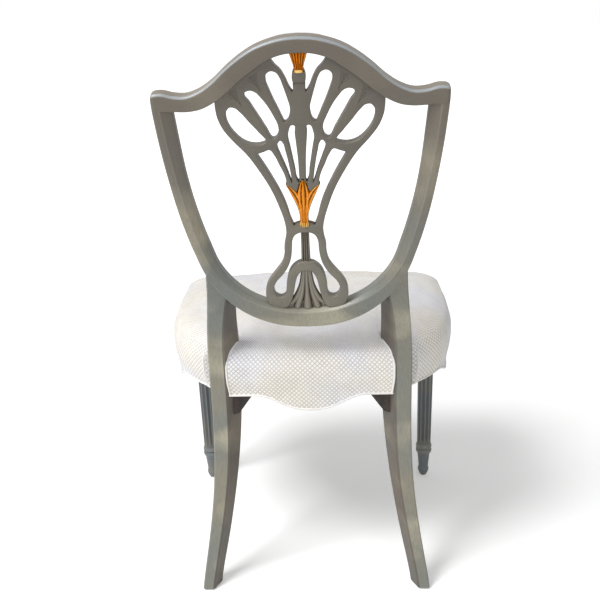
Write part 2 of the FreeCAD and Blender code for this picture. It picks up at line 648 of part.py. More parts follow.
doc.recompute()
board_shape = fret.Shape.copy()
board_shape.Placement = Placement()
crest = crest.cut(board_shape)
base_rail = base_rail.cut(board_shape)
plume = largest(plume.cut(board_shape))

# Front legs: turned and fluted, a square block above and a carved collar and toe below.


def front_leg_profile():
    """Half outline of the turned leg, from the toe up to the block."""
    collar = size("collar_height")
    toe_low = size("toe_low_diameter") / 2
    toe_top = size("toe_top_diameter") / 2
    ring = toe_low + 1.4
    low = size("leg_low_diameter") / 2
    top = size("leg_top_diameter") / 2
    bead = size("collar_diameter") / 2
    sole = size("foot_glide_height")
    block = size("leg_block_bottom")
    return [(0, sole), (toe_low - 2.5, sole), (toe_low, sole + 5), (ring, sole + 10), (ring, sole + 14),
            (toe_low, sole + 17), (toe_top, collar - 14), (toe_top + 1.5, collar - 11), (bead, collar - 7),
            (bead, collar - 2), (bead - 2, collar), (bead, collar + 3), (bead - 1, collar + 9),
            (low, collar + 13), (top, block - 12), (HALF_BLOCK, block - 6), (HALF_BLOCK, block), (0, block)]


def flutes(side):
    """Round-bottomed cuts up the taper of a leg."""
    count = int(size("flute_count"))
    foot = size("collar_height") + 22
    head = size("leg_block_bottom") - 20
    low = size("leg_low_diameter") / 2
    top = size("leg_top_diameter") / 2
    cutters = []
    for index in range(count):
        turn = 2 * math.pi * (index + 0.5) / count
        out = Vector(math.cos(turn), math.sin(turn), 0)
        start = out * (low + 0.5) + Vector(0, 0, foot)
        end = out * (top + 0.2) + Vector(0, 0, head)
        cutter = doc.addObject("Part::Cone", "flute_%s_%d" % (side, index + 1))
        cutter.setExpression("Radius1", "sizes.flute_width * 0.5 * sizes.leg_low_diameter / sizes.leg_top_diameter")
        cutter.setExpression("Radius2", "sizes.flute_width * 0.5")
        cutter.Height = (end - start).Length
        cutter.Placement = Placement(start, Rotation(Vector(0, 0, 1), end - start))
        cutters.append(cutter)
    group = doc.addObject("Part::Compound", "flutes_" + side)
    group.Links = cutters
    return group


def front_leg(side, sign, joints):
    """Turned leg with its square block, fluted round the taper and cut for its rails and screw."""
    turned = doc.addObject("Part::Feature", "turning_" + side)
    outline = [Vector(radius, 0, level) for radius, level in front_leg_profile()]
    turned.Shape = Part.Face(Part.makePolygon(outline + [outline[0]])).revolve(Vector(0, 0, 0), Vector(0, 0, 1), 360)
    block = doc.addObject("Part::Box", "block_" + side)
    block.setExpression("Length", "sizes.leg_block")
    block.setExpression("Width", "sizes.leg_block")
    block.setExpression("Height", "sizes.rail_top - sizes.leg_block_bottom")
    block.setExpression("Placement.Base.x", "-sizes.leg_block / 2")
    block.setExpression("Placement.Base.y", "-sizes.leg_block / 2")
    block.setExpression("Placement.Base.z", "sizes.leg_block_bottom")
    whole = doc.addObject("Part::Fuse", "uncut_" + side)
    whole.Base, whole.Tool = turned, block
    fluted = doc.addObject("Part::Cut", "fluted_" + side)
    fluted.Base, fluted.Tool = whole, flutes(side)
    sockets = doc.addObject("Part::Feature", "sockets_" + side)
    sockets.Shape = Part.makeCompound(joints)
    sockets.Placement = Placement(Vector(-sign * LEG_X, -LEG_Y, 0), Rotation())
    leg = doc.addObject("Part::Cut", "front_leg_" + side)
    leg.Base, leg.Tool = fluted, sockets
    leg.setExpression("Placement.Base.x", "%d * (sizes.seat_half_width - sizes.leg_inset_side)" % sign)
    leg.setExpression("Placement.Base.y", "sizes.seat_front + sizes.leg_inset_front + sizes.origin_shift")
    leg.Label = "front_leg_" + side
    made.append(leg)


leg_joints = [side_front_hole, front_hole, holes[0]]
front_leg("left", 1, leg_joints)
front_leg("right", -1, [reflected(joint) for joint in leg_joints])

# Upholstery: level rings of the seat's plan (depth below the crown, share of the plan), crowned and drawn in.
SEAT_MIDDLE = -205.0
RINGS = [(147, 0.965), (111, 0.98), (77, 1.0), (47, 0.988), (25, 0.93), (13, 0.83), (6, 0.69), (2, 0.53),
         (0.3, 0.36), (0, 0.18)]


def seat_ring(level, share, inset):
    """Level ring of the seat's plan, shrunk about its middle and set in by a skin."""
    def placed(points):
        return [(x * share, SEAT_MIDDLE + (y - SEAT_MIDDLE) * share) for x, y in inset_line(points, inset)]

    side, corner, bow = placed(plan_side), placed(plan_corner), placed(plan_bow)
    side[-1] = corner[0]
    corner[-1] = bow[0]
    bow[-1] = (0, bow[-1][1])
    front = bow + [(-x, y) for x, y in reversed(bow[:-1])]
    far_corner = [(-x, y) for x, y in reversed(corner)]
    far = [(-x, y) for x, y in reversed(side)]
    return plan_wire([side, corner, front, far_corner, far, [far[-1], side[0]]], level)


def seat_form(inset):
    """Crowned seat with drawn-in sides, set in all over by a skin."""
    crown = size("seat_crown") - inset
    rings = [seat_ring(crown - depth, share, inset) for depth, share in RINGS]
    return Part.makeLoft(rings, True, False, False, 3)


POST_CLEAR = [(143.6, 40), (143.6, -5.6), (118.6, -45.0), (340, -45.0), (340, 40)]
post_zone = upright_pad(polygon_runs(POST_CLEAR), 300, 520)
GAP = size("seat_gap")
post_room = Part.makeLoft([leg_section(row, GAP) for row in BACK_LEG[4:10]], True, False)
seat_cutters = edge_cutters(size("seat_edge_bottom")) + [post_zone, reflected(post_zone), post_room,
                                                          reflected(post_room)]
cover_inside = size("cover_thickness")
cover = largest(cut_each(seat_form(0.0), seat_cutters).cut(seat_form(cover_inside)))

strap = size("strap_thickness")
frame_low, frame_high = rail_low - 20, TOP + 2 * strap + GAP
frame_face = Part.Face(seat_ring(frame_low, 1.0, SKIN - GAP))
frame_zone = frame_face.extrude(Vector(0, 0, frame_high - frame_low))
frame_zone = frame_zone.cut(box_between((-FAR, BACK_FACE + GAP, frame_low), (FAR, FAR, frame_high)))
block_zone = box_between((LEG_X - HALF_BLOCK - GAP, LEG_Y - HALF_BLOCK - GAP, frame_low),
                         (LEG_X + HALF_BLOCK + GAP, LEG_Y + HALF_BLOCK + GAP, frame_high))
stuffing = cut_each(seat_form(cover_inside + GAP), seat_cutters)
stuffing = largest(cut_each(stuffing, [frame_zone, block_zone, reflected(block_zone)]))

# Webbing over the rails and the dust cover under them.
STRAP = size("strap_width")
ALONG_STRAPS = [-93, -31, 31, 93]
ACROSS_STRAPS = [(-118, 212), (-180, 238), (-242, 244), (-304, 244)]
STRAP_BACK = BACK_FACE - THICK + 14
STRAP_FRONT = size("seat_front") + SKIN + 12
straps = [box_between((x - STRAP / 2, STRAP_FRONT, TOP), (x + STRAP / 2, STRAP_BACK, TOP + strap))
          for x in ALONG_STRAPS]
straps += [box_between((-half, y - STRAP / 2, TOP + strap), (half, y + STRAP / 2, TOP + 2 * strap))
           for y, half in ACROSS_STRAPS]
dust = Part.Face(seat_ring(rail_flat - GLUE - size("dust_thickness"), 1.0, SKIN + THICK / 2))
dust = dust.extrude(Vector(0, 0, size("dust_thickness")))
behind_rail = box_between((-FAR, BACK_FACE - THICK / 2, 0), (FAR, FAR, TOP))
dust = largest(cut_each(dust, [behind_rail, side_rail, reflected(side_rail), front_rail, back_rail, leg_column,
                               reflected(leg_column), back_leg, reflected(back_leg), bracket, reflected(bracket)]))

# Nail glides under the four feet.
FOOT_X, FOOT_Y = 189.5, 24.0
GLIDES = [(FOOT_X, FOOT_Y), (-FOOT_X, FOOT_Y), (LEG_X, LEG_Y), (-LEG_X, LEG_Y)]
glides = [Part.makeCylinder(size("foot_glide_diameter") / 2, size("foot_glide_height"), Vector(x, y, 0))
          for x, y in GLIDES]

for side, turned in (("left", lambda shape: shape), ("right", reflected)):
    add_feature("rear_leg_" + side, turned(back_leg))
    add_feature("seat_rail_" + side, turned(side_rail))
    add_feature("corner_block_front_" + side, turned(front_block))
    add_feature("corner_block_rear_" + side, turned(back_block))
    add_feature("rear_bracket_" + side, turned(bracket))
add_feature("seat_rail_front", front_rail)
add_feature("seat_rail_rear", back_rail)
add_feature("crest_rail", crest, lean_back)
add_feature("shield_stile_left", stile_left, lean_back)
add_feature("shield_stile_right", stile_right, lean_back)
add_feature("shield_base_rail", base_rail, lean_back)
add_feature("splat_plume", plume, lean_back)
add_feature("shield_dowels", Part.makeCompound(dowels + [reflected(item) for item in dowels]), lean_back)
add_feature("corner_block_screws", Part.makeCompound(screws + [reflected(item) for item in screws]))
add_feature("seat_webbing", Part.makeCompound(straps))
add_feature("seat_stuffing", stuffing)
add_feature("seat_cover", cover)
add_feature("dust_cover", dust)
add_feature("foot_glides", Part.makeCompound(glides))

doc.recompute()
for item in doc.Objects:
    if "Invalid" in item.State or "Error" in item.State:
        raise RuntimeError("%s did not build: %s" % (item.Name, item.State))
for item in made:
    if item.Shape.isNull() or not item.Shape.isValid():
        raise RuntimeError("%s has no valid shape" % item.Label)

os.makedirs("parts", exist_ok=True)
for item in made:
    item.Shape.exportStep("parts/%s.step" % item.Label)
    print("%-28s %9.0f mm3 in %d" % (item.Label, item.Shape.Volume, len(item.Shape.Solids)))
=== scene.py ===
"""Dresses the shield back chair: glazed frame, pierced splat with gilt ornaments, and padded seat."""

import logging
import math
from dataclasses import dataclass, field
from enum import Enum

import bmesh
import bpy
import numpy as np
from mathutils import Matrix, Vector


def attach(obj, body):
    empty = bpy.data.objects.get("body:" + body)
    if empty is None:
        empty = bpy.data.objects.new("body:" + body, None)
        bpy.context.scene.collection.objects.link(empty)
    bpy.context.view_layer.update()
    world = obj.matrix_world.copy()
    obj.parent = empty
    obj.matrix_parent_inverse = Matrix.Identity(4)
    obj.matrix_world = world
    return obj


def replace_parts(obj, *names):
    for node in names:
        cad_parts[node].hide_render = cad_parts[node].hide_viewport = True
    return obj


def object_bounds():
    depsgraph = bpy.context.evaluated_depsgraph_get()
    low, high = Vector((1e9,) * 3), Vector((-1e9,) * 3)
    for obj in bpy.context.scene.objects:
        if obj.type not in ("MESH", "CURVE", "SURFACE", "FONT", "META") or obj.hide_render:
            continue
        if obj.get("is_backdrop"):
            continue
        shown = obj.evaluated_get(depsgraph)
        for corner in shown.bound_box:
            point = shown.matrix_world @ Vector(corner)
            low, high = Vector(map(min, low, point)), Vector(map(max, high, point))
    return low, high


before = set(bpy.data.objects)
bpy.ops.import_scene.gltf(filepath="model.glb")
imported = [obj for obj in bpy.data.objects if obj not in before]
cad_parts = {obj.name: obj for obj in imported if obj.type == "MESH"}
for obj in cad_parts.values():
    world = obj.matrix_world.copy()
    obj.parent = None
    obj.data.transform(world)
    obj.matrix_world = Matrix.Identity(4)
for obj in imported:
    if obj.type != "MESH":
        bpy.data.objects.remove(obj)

LOG = logging.getLogger("shield_back_chair")
MM = 0.001
Points = list[tuple[float, ...]]
Printed = tuple[int, int, int]
SIDES: tuple[tuple[str, int], ...] = (("left", 1), ("right", -1))

# Half outlines of the back, in its own leaning plane: across and up, in millimetres.
CREST_UPPER: Points = [(0, 537), (20, 535.6), (40, 531), (60, 523.5), (80, 511.5), (100, 496), (120, 478),
                       (140, 465), (158, 459), (175, 460), (191, 464), (206.8, 463)]
CREST_LOWER: Points = [(0, 515.5), (20, 513.6), (40, 507.3), (60, 494.6), (80, 480), (100, 462.8),
                       (120, 448.5), (140, 439.5), (158, 437), (175, 437.6), (191, 438), (206.8, 438)]
SHIELD: Points = [(206.2, 438, 0, 10.7, 16.5), (202.9, 394, 4, 10.9, 16.0), (195.8, 331, 5, 11.8, 13.5),
                  (185.2, 266, 11, 12.6, 12.5), (171.2, 208, 16, 13.2, 12.0), (157.6, 166, 27, 14.5, 10.5),
                  (127.0, 117, 41, 20.5, 7.5), (98.0, 91.0, 54, 25.0, 5.5), (72.0, 76.5, 66, 27.0, 5.0),
                  (45.0, 67.3, 75, 28.0, 5.0), (22.0, 64.0, 83, 28.0, 5.0), (0.0, 63.0, 90, 28.0, 5.0)]
FAN_TOP: Points = [(41, 513), (60, 499.5), (80, 485), (100, 468), (118, 455)]
FAN_SIDE: Points = [(118, 455), (118, 440), (116.6, 427), (110.7, 410), (97, 390), (80, 370), (61.4, 340),
                    (46.4, 310), (35.9, 280), (30.4, 260), (28.1, 242), (29, 230), (32, 215), (32.6, 200),
                    (36.5, 184), (45.5, 170), (55, 157), (61.8, 145), (65.5, 130), (64, 114), (58, 103.5),
                    (48, 99), (40, 98.5), (31, 102), (26.5, 110), (22.9, 120), (20.6, 130), (18.8, 140),
                    (16.6, 151), (13, 160.5), (7.5, 167.5), (0, 170)]
FAN_NOTCH: Points = [(8.6, 472.5), (9.3, 460), (13.2, 466), (19, 480), (24.5, 490), (32, 498), (41, 513)]
COLLAR: Points = [(0, 488), (8.2, 488), (9.4, 484.5), (9.7, 480), (9.2, 476), (8.2, 473.6), (8.6, 472.5)]
STEM_WINDOW: Points = [(0, 238), (7.5, 237.4), (14.7, 233.5), (19.1, 225), (20.6, 210), (21.5, 200),
                       (23.6, 189), (31.5, 170), (38.6, 160), (47.6, 149), (52, 138), (52, 130),
                       (49, 122.5), (42, 119), (35.8, 121.5), (33, 128), (32.2, 140), (30.3, 152),
                       (27, 165), (20.6, 176), (11.5, 183), (0, 185.5)]
LOTUS_WINDOW_SIDE: Points = [(16, 250), (20.3, 262.5), (25, 282), (29.5, 296), (35, 310),
                             (41.5, 324), (48.5, 338.5), (56, 352.5), (65, 368.5)]
LOTUS_WINDOW_TOP: Points = [(65, 368.5), (55, 371.8), (45.7, 374.6), (39.3, 366), (32.9, 351), (27, 337),
                            (24.3, 326), (24.3, 317.8)]
LOTUS_SEAT: Points = [(24.3, 317.8), (17.2, 313.6), (9.6, 307), (7.3, 313.5), (5.9, 320), (3.2, 325), (0, 326.5)]
PETALS: list[Points] = [
    [(50, 387), (61, 383.2), (72, 384), (82, 388.5), (92, 398), (100, 410), (104.2, 424),
     (103, 434), (97.5, 440), (90.5, 439), (84, 433), (71.4, 417), (60.5, 403.5)],
    [(38.5, 391.5), (48.6, 407), (55.7, 420), (62.9, 433), (70, 446), (76.2, 456), (75, 461),
     (68.5, 463.6), (60, 460.5), (54.3, 454), (48.6, 446.5), (42.9, 437), (37, 425),
     (32, 412.5), (31.5, 402), (34, 395)],
    [(21.8, 416), (25, 422), (29.5, 433), (35.5, 447), (41.5, 463), (45.5, 477), (44.2, 486),
     (38, 490), (30.5, 487.5), (26, 480), (22.3, 469), (19, 458), (16.2, 448), (14.2, 439.5),
     (14.6, 428), (17.5, 419.5)],
    [(15.6, 322), (17, 336), (18.8, 349), (21, 362), (23.7, 375), (26, 384.5), (29.5, 388.6),
     (34, 383.5), (34.2, 377), (30.6, 366), (26, 353), (21.5, 340), (17.9, 328)],
    [(6.2, 323), (5.3, 344), (5.9, 362), (7.3, 381), (8.8, 399), (9.9, 411.5), (12.3, 411.5),
     (17.4, 401.5), (18.4, 392), (16, 377), (13.2, 360), (10.4, 343), (8.4, 328)]]
# Carved husk between two petals: its nested lines, about the husk's own middle.
HUSK_LINES: list[Points] = [
    [(6.5, -4.5), (2, -7), (-4, -11), (-8.5, -16.5), (-11, -22)],
    [(-6.5, 6), (-7, -1), (-8, -9), (-9.4, -16), (-11, -22)],
    [(5, -1.5), (1, -4), (-3, -7.5), (-6.5, -12.5)],
    [(-4.5, 4.5), (-5, -1), (-5.8, -7), (-6.5, -12.5)],
    [(3.5, -0.5), (0.8, -1.5), (-1.8, -4.2), (-3.5, -7.5)],
    [(-2.8, 3.3), (-3, -0.5), (-3.2, -4), (-3.5, -7.5)],
    [(2.3, 0.6), (0.3, 1.8), (-1.4, 1.2), (-1.6, -1), (0.2, -1.2), (2.3, 0.6)]]
HUSKS: list[tuple[float, float, float]] = [(64, 483, 0), (93.5, 462, -6)]
# Carved lines: across, up and half width.
STEM: Points = [(0, 172, 7.2), (0, 190, 7.0), (0, 215, 6.5), (0, 246, 6.4)]
BAND_STEP: Points = [(-17.5, 248.5, 1.2), (-10, 250.0, 3.4), (0, 250.6, 4.2), (10, 250.0, 3.4), (17.5, 248.5, 1.2)]
PLUME_MIDDLE: Points = [(0, 178, 3.3), (0, 160, 3.4), (0, 140, 3.8), (0, 122, 5.0), (0, 108, 7.0), (0, 96, 8.4)]
PLUME_INNER: Points = [(2.8, 178, 2.8), (4.2, 158, 3.2), (6.2, 138, 3.9), (9.6, 121, 5.4), (13.6, 108, 6.4),
                       (16.5, 97, 6.4)]
PLUME_OUTER: Points = [(5.1, 178, 2.2), (6.6, 158, 2.9), (9.0, 140, 3.6), (13.8, 124, 4.8), (19.8, 112.5, 5.0),
                       (25, 106.5, 3.6), (27.5, 104.5, 1.2)]
LOTUS_MIDDLE: Points = [(0, 251, 6.2), (0, 258, 6.6), (0, 268, 6.4), (0, 280, 8.0), (0, 294, 9.4), (0, 306, 9.2),
                        (0, 314, 7.2), (0, 320, 5.0), (0, 324.5, 2.6), (0, 327, 0.4)]
LOTUS_PETAL: Points = [(3.4, 254, 3.0), (3.8, 268, 3.2), (5.8, 282, 4.6), (9.6, 295, 5.6), (14.4, 305, 5.2),
                       (19.5, 312.4, 3.4), (23, 316.6, 1.6), (25.2, 319, 0.3)]
LOTUS_FOOT: Points = [(0, 248.6, 6.4), (0, 250.4, 7.2), (0, 253, 7.4), (0, 255.8, 6.8)]
TASSEL: Points = [(0, 490.5, 6.4), (0, 497, 7.6), (0, 505, 10.0), (0, 511, 11.8), (0, 515.5, 12.8)]
TASSEL_RING: Points = [(0, 487.6, 6.9), (0, 488.6, 7.8), (0, 489.8, 8.0), (0, 491.2, 6.9)]
# Half plan of the seat, from the back panel round to the middle of the front, in millimetres.
SEAT_SIDE: Points = [(172, -6), (184, -44), (206, -66), (231, -97), (250, -137), (261, -185), (265, -235),
                     (265.5, -290), (264, -335)]
SEAT_CORNER: Points = [(264, -335), (262, -365), (243, -380)]
SEAT_BOW: Points = [(243, -380), (180, -386), (90, -395), (0, -398)]
SEAT_PROFILE: Points = [(0.967, 340), (0.98, 376), (1.0, 410), (0.988, 440), (0.93, 462), (0.83, 474),
                        (0.69, 481), (0.53, 485), (0.36, 486.7), (0.18, 487), (0.02, 487.1)]
LEG_PROFILE: Points = [(0.5, 3), (7.0, 3), (8.3, 3.6), (10.0, 7), (11.0, 10), (11.65, 13), (11.65, 17), (10.8, 19),
                       (10.25, 20.5), (10.9, 29), (13.1, 53), (13.6, 54.5), (14.75, 57), (16.3, 59), (17, 61.5),
                       (17.1, 64), (16.3, 67), (15, 68.2), (16.3, 69.2), (17, 71.5), (17, 74), (16.2, 77),
                       (15.0, 79), (14.75, 81)]


class BackPlane(Enum):
    """Sizes of the leaning back, in metres and radians."""

    RAKE = math.radians(13.55)
    HEIGHT = 0.450
    SHIFT = 0.1366


class Slot(Enum):
    """Material slots of the record."""

    GLAZED_WOOD = "glazed_wood"
    GILDING = "gilding"
    SEAT_FABRIC = "seat_fabric"
    WEBBING = "webbing"
    DUST_CLOTH = "dust_cloth"
    FRAME_WOOD = "frame_wood"
    DARK_WOOD = "dark_wood"
    STEEL = "steel"


def lean(across: np.ndarray, up: np.ndarray, deep: np.ndarray) -> np.ndarray:
    """Places points of the back: up runs along the rake, and deep goes square to it, towards the front.

    Args:
        across: Distance from the chair's middle, in millimetres.
        up: Distance up the rake, in millimetres.
        deep: Distance from the back face towards the front, in millimetres.

    Returns:
        Points in metres, in the frame of the whole chair, in the last axis.
    """
    rake = BackPlane.RAKE.value
    along = BackPlane.SHIFT.value + (math.sin(rake) * up - math.cos(rake) * deep) * MM
    height = BackPlane.HEIGHT.value + (math.cos(rake) * up + math.sin(rake) * deep) * MM
    across, along, height = np.broadcast_arrays(across * MM, along, height)
    return np.stack([across, along, height], axis=-1)


def smooth_run(points: np.ndarray | Points, per: int = 6, closed: bool = False) -> np.ndarray:
    """Cubic run through points: each slope is the mean of its two chords, weighted by the other's length.

    Args:
        points: Rows of numbers, of any width.
        per: Steps between two points.
        closed: Whether the run comes back to its first point.

    Returns:
        The finer rows; a closed run doesn't repeat its first row.
    """
    rows = np.asarray(points, float)
    if closed:
        rows = np.vstack([rows, rows[:1]])
    chords = np.diff(rows, axis=0)
    lengths = np.linalg.norm(chords[:, :2], axis=1)[:, None]
    rates = chords / lengths
    inner = (rates[:-1] * lengths[1:] + rates[1:] * lengths[:-1]) / (lengths[:-1] + lengths[1:])
    if closed:
        joined = (rates[-1] * lengths[0] + rates[0] * lengths[-1]) / (lengths[0] + lengths[-1])
        slopes = np.vstack([joined, inner, joined])
    else:
        slopes = np.vstack([rates[:1], inner, rates[-1:]])
    part = np.linspace(0, 1, per + 1)[:-1][None, :, None]
    start, end = rows[:-1, None], rows[1:, None]
    leave, arrive = (slopes[:-1] * lengths)[:, None], (slopes[1:] * lengths)[:, None]
    finer = ((2 * part**3 - 3 * part**2 + 1) * start + (part**3 - 2 * part**2 + part) * leave
             + (3 * part**2 - 2 * part**3) * end + (part**3 - part**2) * arrive).reshape(-1, rows.shape[1])
    return finer if closed else np.vstack([finer, rows[-1:]])


def both_halves(half: np.ndarray) -> np.ndarray:
    """Whole run from its +X half, which starts on the middle line."""
    other = half[::-1].copy()
    other[:, 0] *= -1
    return np.vstack([other[:-1], half])


def whole_ring(half: np.ndarray) -> np.ndarray:
    """Closed rings from their +X halves, which start and end on the middle line; the way back is the mirror image."""
    back = half[..., -2:0:-1, :].copy()
    back[..., 0] *= -1
    return np.concatenate([half, back], axis=-2)


def turned_over(line: Points, sign: int) -> Points:
    """A carved line on its own side of the middle: its distances across times the sign."""
    return [(sign * row[0], *row[1:]) for row in line]


def wear_and_light_runs(shape: tuple[int, int], runs: tuple[tuple[int, int, float], ...]) -> np.ndarray:
    """Height of the carving over rings: 0.5, but for runs of a ring's points that have their own height, which mark
    rubbed edges, painted highlights and painted shade.

    Args:
        shape: Number of rings, and of points in each.
        runs: First point, point after the last, and height.

    Returns:
        Rings by points.
    """
    relief = np.full(shape, 0.5)
    for first, last, height in runs:
        relief[:, first:last] = height
    return relief


def in_place(points: np.ndarray) -> np.ndarray:
    """Points of the seat in metres, moved from the seat's own zero line to the chair's."""
    moved = points.copy()
    moved[..., 1] += BackPlane.SHIFT.value / MM
    return moved * MM


def soft_corners(corners: np.ndarray, reach: list[float], steps: int = 4) -> np.ndarray:
    """Rounds the corners of many rings at once.

    A corner becomes a quadratic curve from a point before it to a point after it, with the corner as its handle.

    Args:
        corners: Rings by corners by two.
        reach: How far each corner's rounding reaches along its sides.
        steps: Steps in each rounding.

    Returns:
        Rings by points by two.
    """
    before = np.roll(corners, 1, axis=1) - corners
    after = np.roll(corners, -1, axis=1) - corners
    before /= np.linalg.norm(before, axis=2, keepdims=True)
    after /= np.linalg.norm(after, axis=2, keepdims=True)
    far = np.asarray(reach, float)[None, :, None]
    part = np.linspace(0, 1, steps + 1)[None, None, :, None]
    start, handle, end = [side[:, :, None] for side in (corners + before * far, corners, corners + after * far)]
    curve = (1 - part)**2 * start + 2 * part * (1 - part) * handle + part**2 * end
    return curve.reshape(len(corners), -1, 2)


def show(name: str, mesh: bpy.types.Mesh, sharp: float = 40.0) -> bpy.types.Object:
    """Puts a mesh into the scene, riding on the chair, smooth but for edges sharper than an angle."""
    mesh.polygons.foreach_set("use_smooth", np.ones(len(mesh.polygons), bool))
    mesh.set_sharp_from_angle(angle=math.radians(sharp))
    piece = bpy.data.objects.new(name, mesh)
    bpy.context.scene.collection.objects.link(piece)
    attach(piece, "root")
    return piece


def surface(name: str, grid: np.ndarray, relief: np.ndarray | float = 0.5, around: bool = True,
            capped: bool = True, plan: np.ndarray | None = None, zero_ring: int = 0) -> bpy.types.Object:
    """Turns a grid of points into a mesh of quads.

    The UV of a point is its run around a ring and its run along the rings, both in metres.

    Args:
        name: Name of the piece.
        grid: Rings by points by three, in metres.
        relief: Height of the carving, from 0 in a hollow to 1 on a rubbed edge; some pieces also paint shade with it
            low and highlights high.
        around: Whether each ring closes.
        capped: Whether flat faces close both ends.
        plan: A second UV, rings by points by two.
        zero_ring: The ring where the run along the rings is nought.

    Returns:
        The piece.
    """
    rings, count = grid.shape[:2]
    step = np.arange(count if around else count - 1)[None, :]
    row = np.arange(rings - 1)[:, None] * count
    ahead = (step + 1) % count
    quads = np.stack([row + step, row + ahead, row + count + ahead, row + count + step], axis=-1).reshape(-1, 4)
    faces = quads.tolist()
    if capped:
        faces += [list(range(count))[::-1], list(range((rings - 1) * count, rings * count))]
    mesh = bpy.data.meshes.new(name)
    mesh.from_pydata(grid.reshape(-1, 3).tolist(), [], faces)
    widest = grid[np.argmax(np.linalg.norm(np.diff(grid, axis=1), axis=2).sum(axis=1))]
    closed = np.vstack([widest, widest[:1]])
    round_run = np.concatenate([[0.0], np.cumsum(np.linalg.norm(np.diff(closed, axis=0), axis=1))])
    along_run = np.vstack([np.zeros((1, count)), np.cumsum(np.linalg.norm(np.diff(grid, axis=0), axis=2), axis=0)])
    along_run = along_run - along_run[zero_ring]
    corner = np.empty(len(mesh.loops), np.int32)
    mesh.loops.foreach_get("vertex_index", corner)
    sides = round_run[corner % count]
    last = np.zeros(len(corner), bool)
    last[: quads.size] = np.tile(np.repeat(step.ravel() == count - 1, 4), rings - 1)
    sides[last & (corner % count == 0)] = round_run[-1]
    runs = np.stack([sides, along_run.ravel()[corner]], axis=-1)
    mesh.uv_layers.new(name="run").data.foreach_set("uv", runs.astype(np.float32).ravel())
    if plan is not None:
        mesh.uv_layers.new(name="plan").data.foreach_set("uv", plan.reshape(-1, 2)[corner].astype(np.float32).ravel())
    shape = bmesh.new()
    shape.from_mesh(mesh)
    bmesh.ops.recalc_face_normals(shape, faces=shape.faces)
    shape.to_mesh(mesh)
    shape.free()
    heights = np.broadcast_to(relief, (rings, count)).astype(np.float32).ravel()
    mesh.attributes.new("relief", "FLOAT", "POINT").data.foreach_set("value", heights)
    return show(name, mesh)


def carried_copy(name: str, node: str, sharp: float = 16.0) -> bpy.types.Object:
    """Welded copy of a construction node's mesh, for a piece whose cut joints stay as they are.

    Its relief is lower on the faces that look towards the middle of the chair, by the inward part of
    their normal, so that the canted planes read darker and the narrow eased edges lighter: painted shade on the faces
    turned inward.

    Args:
        name: Name of the piece.
        node: The node it stands for.
        sharp: Edges sharper than this angle stay crisp.

    Returns:
        The piece.
    """
    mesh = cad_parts[node].data.copy()
    mesh.name = name
    shape = bmesh.new()
    shape.from_mesh(mesh)
    bmesh.ops.remove_doubles(shape, verts=shape.verts, dist=1e-5)
    shape.to_mesh(mesh)
    shape.free()
    count = len(mesh.polygons)
    facing, corners_of, centres = np.empty(count * 3, np.float32), np.empty(count, np.int32), np.empty(count * 3)
    mesh.polygons.foreach_get("normal", facing)
    mesh.polygons.foreach_get("loop_total", corners_of)
    mesh.polygons.foreach_get("center", centres)
    # Painted shade: faces turned towards the middle of the chair get a low relief, which the glaze paints dark.
    inward = -np.sign(centres[0::3]) * facing[0::3]
    relief = 0.6 - 0.42 * np.clip((inward - 0.2) / 0.3, 0, 1)
    mesh.attributes.new("relief", "FLOAT", "CORNER").data.foreach_set(
        "value", np.repeat(relief, corners_of).astype(np.float32))
    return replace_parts(show(name, mesh, sharp), node)


def tube(name: str, path: np.ndarray, radius: float, closed: bool = False, sides: int = 10) -> bpy.types.Object:
    """Round cord along a path: a circle square to the path's own direction at each point.

    Args:
        name: Name of the piece.
        path: Points in metres.
        radius: Radius in metres.
        closed: Whether the path comes back to its start.
        sides: Points of the circle.

    Returns:
        The piece.
    """
    if closed:
        path = np.vstack([path, path[:1]])
    heading = np.gradient(path, axis=0)
    if closed:
        heading[0] = heading[-1] = path[1] - path[-2]
    heading /= np.linalg.norm(heading, axis=1, keepdims=True)
    upright = np.where(np.abs(heading[:, 2:]) > 0.9, [[0.0, 1.0, 0.0]], [[0.0, 0.0, 1.0]])
    side = np.cross(heading, upright)
    side /= np.linalg.norm(side, axis=1, keepdims=True)
    top = np.cross(side, heading)
    turn = np.linspace(0, 2 * math.pi, sides, endpoint=False)[None, :, None]
    grid = path[:, None] + radius * (np.cos(turn) * side[:, None] + np.sin(turn) * top[:, None])
    return surface(name, grid)


def leaf(name: str, line: Points, deep: tuple[float, float], ribs: int = 3, boxy: float = 0.5,
         groove: float = 0.12) -> bpy.types.Object:
    """Carved leaf that stands in the back: a rounded section carried along a line.

    The section is across = width * cos(turn) and depth = half depth * |sin(turn)| ** boxy; ribs ripple its depth
    by the cosine of the distance across.

    Args:
        name: Name of the piece.
        line: Across, up and half width along the leaf, in millimetres.
        deep: Depths of its back and its front, in millimetres.
        ribs: Number of raised ribs.
        boxy: Below 1 for a fuller section.
        groove: Share of the half depth that a groove takes.

    Returns:
        The piece.
    """
    run = smooth_run(line, 8)
    heading = np.gradient(run[:, :2], axis=0)
    heading /= np.linalg.norm(heading, axis=1, keepdims=True)
    square = np.stack([heading[:, 1], -heading[:, 0]], axis=1)
    turn = np.linspace(0, 2 * math.pi, 72, endpoint=False)[None, :]
    spread = np.sign(np.cos(turn)) * np.abs(np.cos(turn)) ** 0.8
    middle, half = (deep[0] + deep[1]) / 2, (deep[1] - deep[0]) / 2
    ripple = 0.5 + 0.5 * np.cos(math.pi * spread * ribs)
    if ribs % 2 == 0:
        ripple = 1 - ripple
    taper = np.clip(run[:, 2:3] / (0.25 * run[:, 2].max()), 0.35, 1) ** 0.5
    lift = np.sign(np.sin(turn)) * np.abs(np.sin(turn)) ** boxy * (1 - groove * (1 - ripple)) * taper
    across = run[:, :1] + square[:, :1] * run[:, 2:3] * spread
    up = run[:, 1:2] + square[:, 1:] * run[:, 2:3] * spread
    return surface(name, lean(across, up, middle - half * lift), relief=np.broadcast_to(ripple, lift.shape))


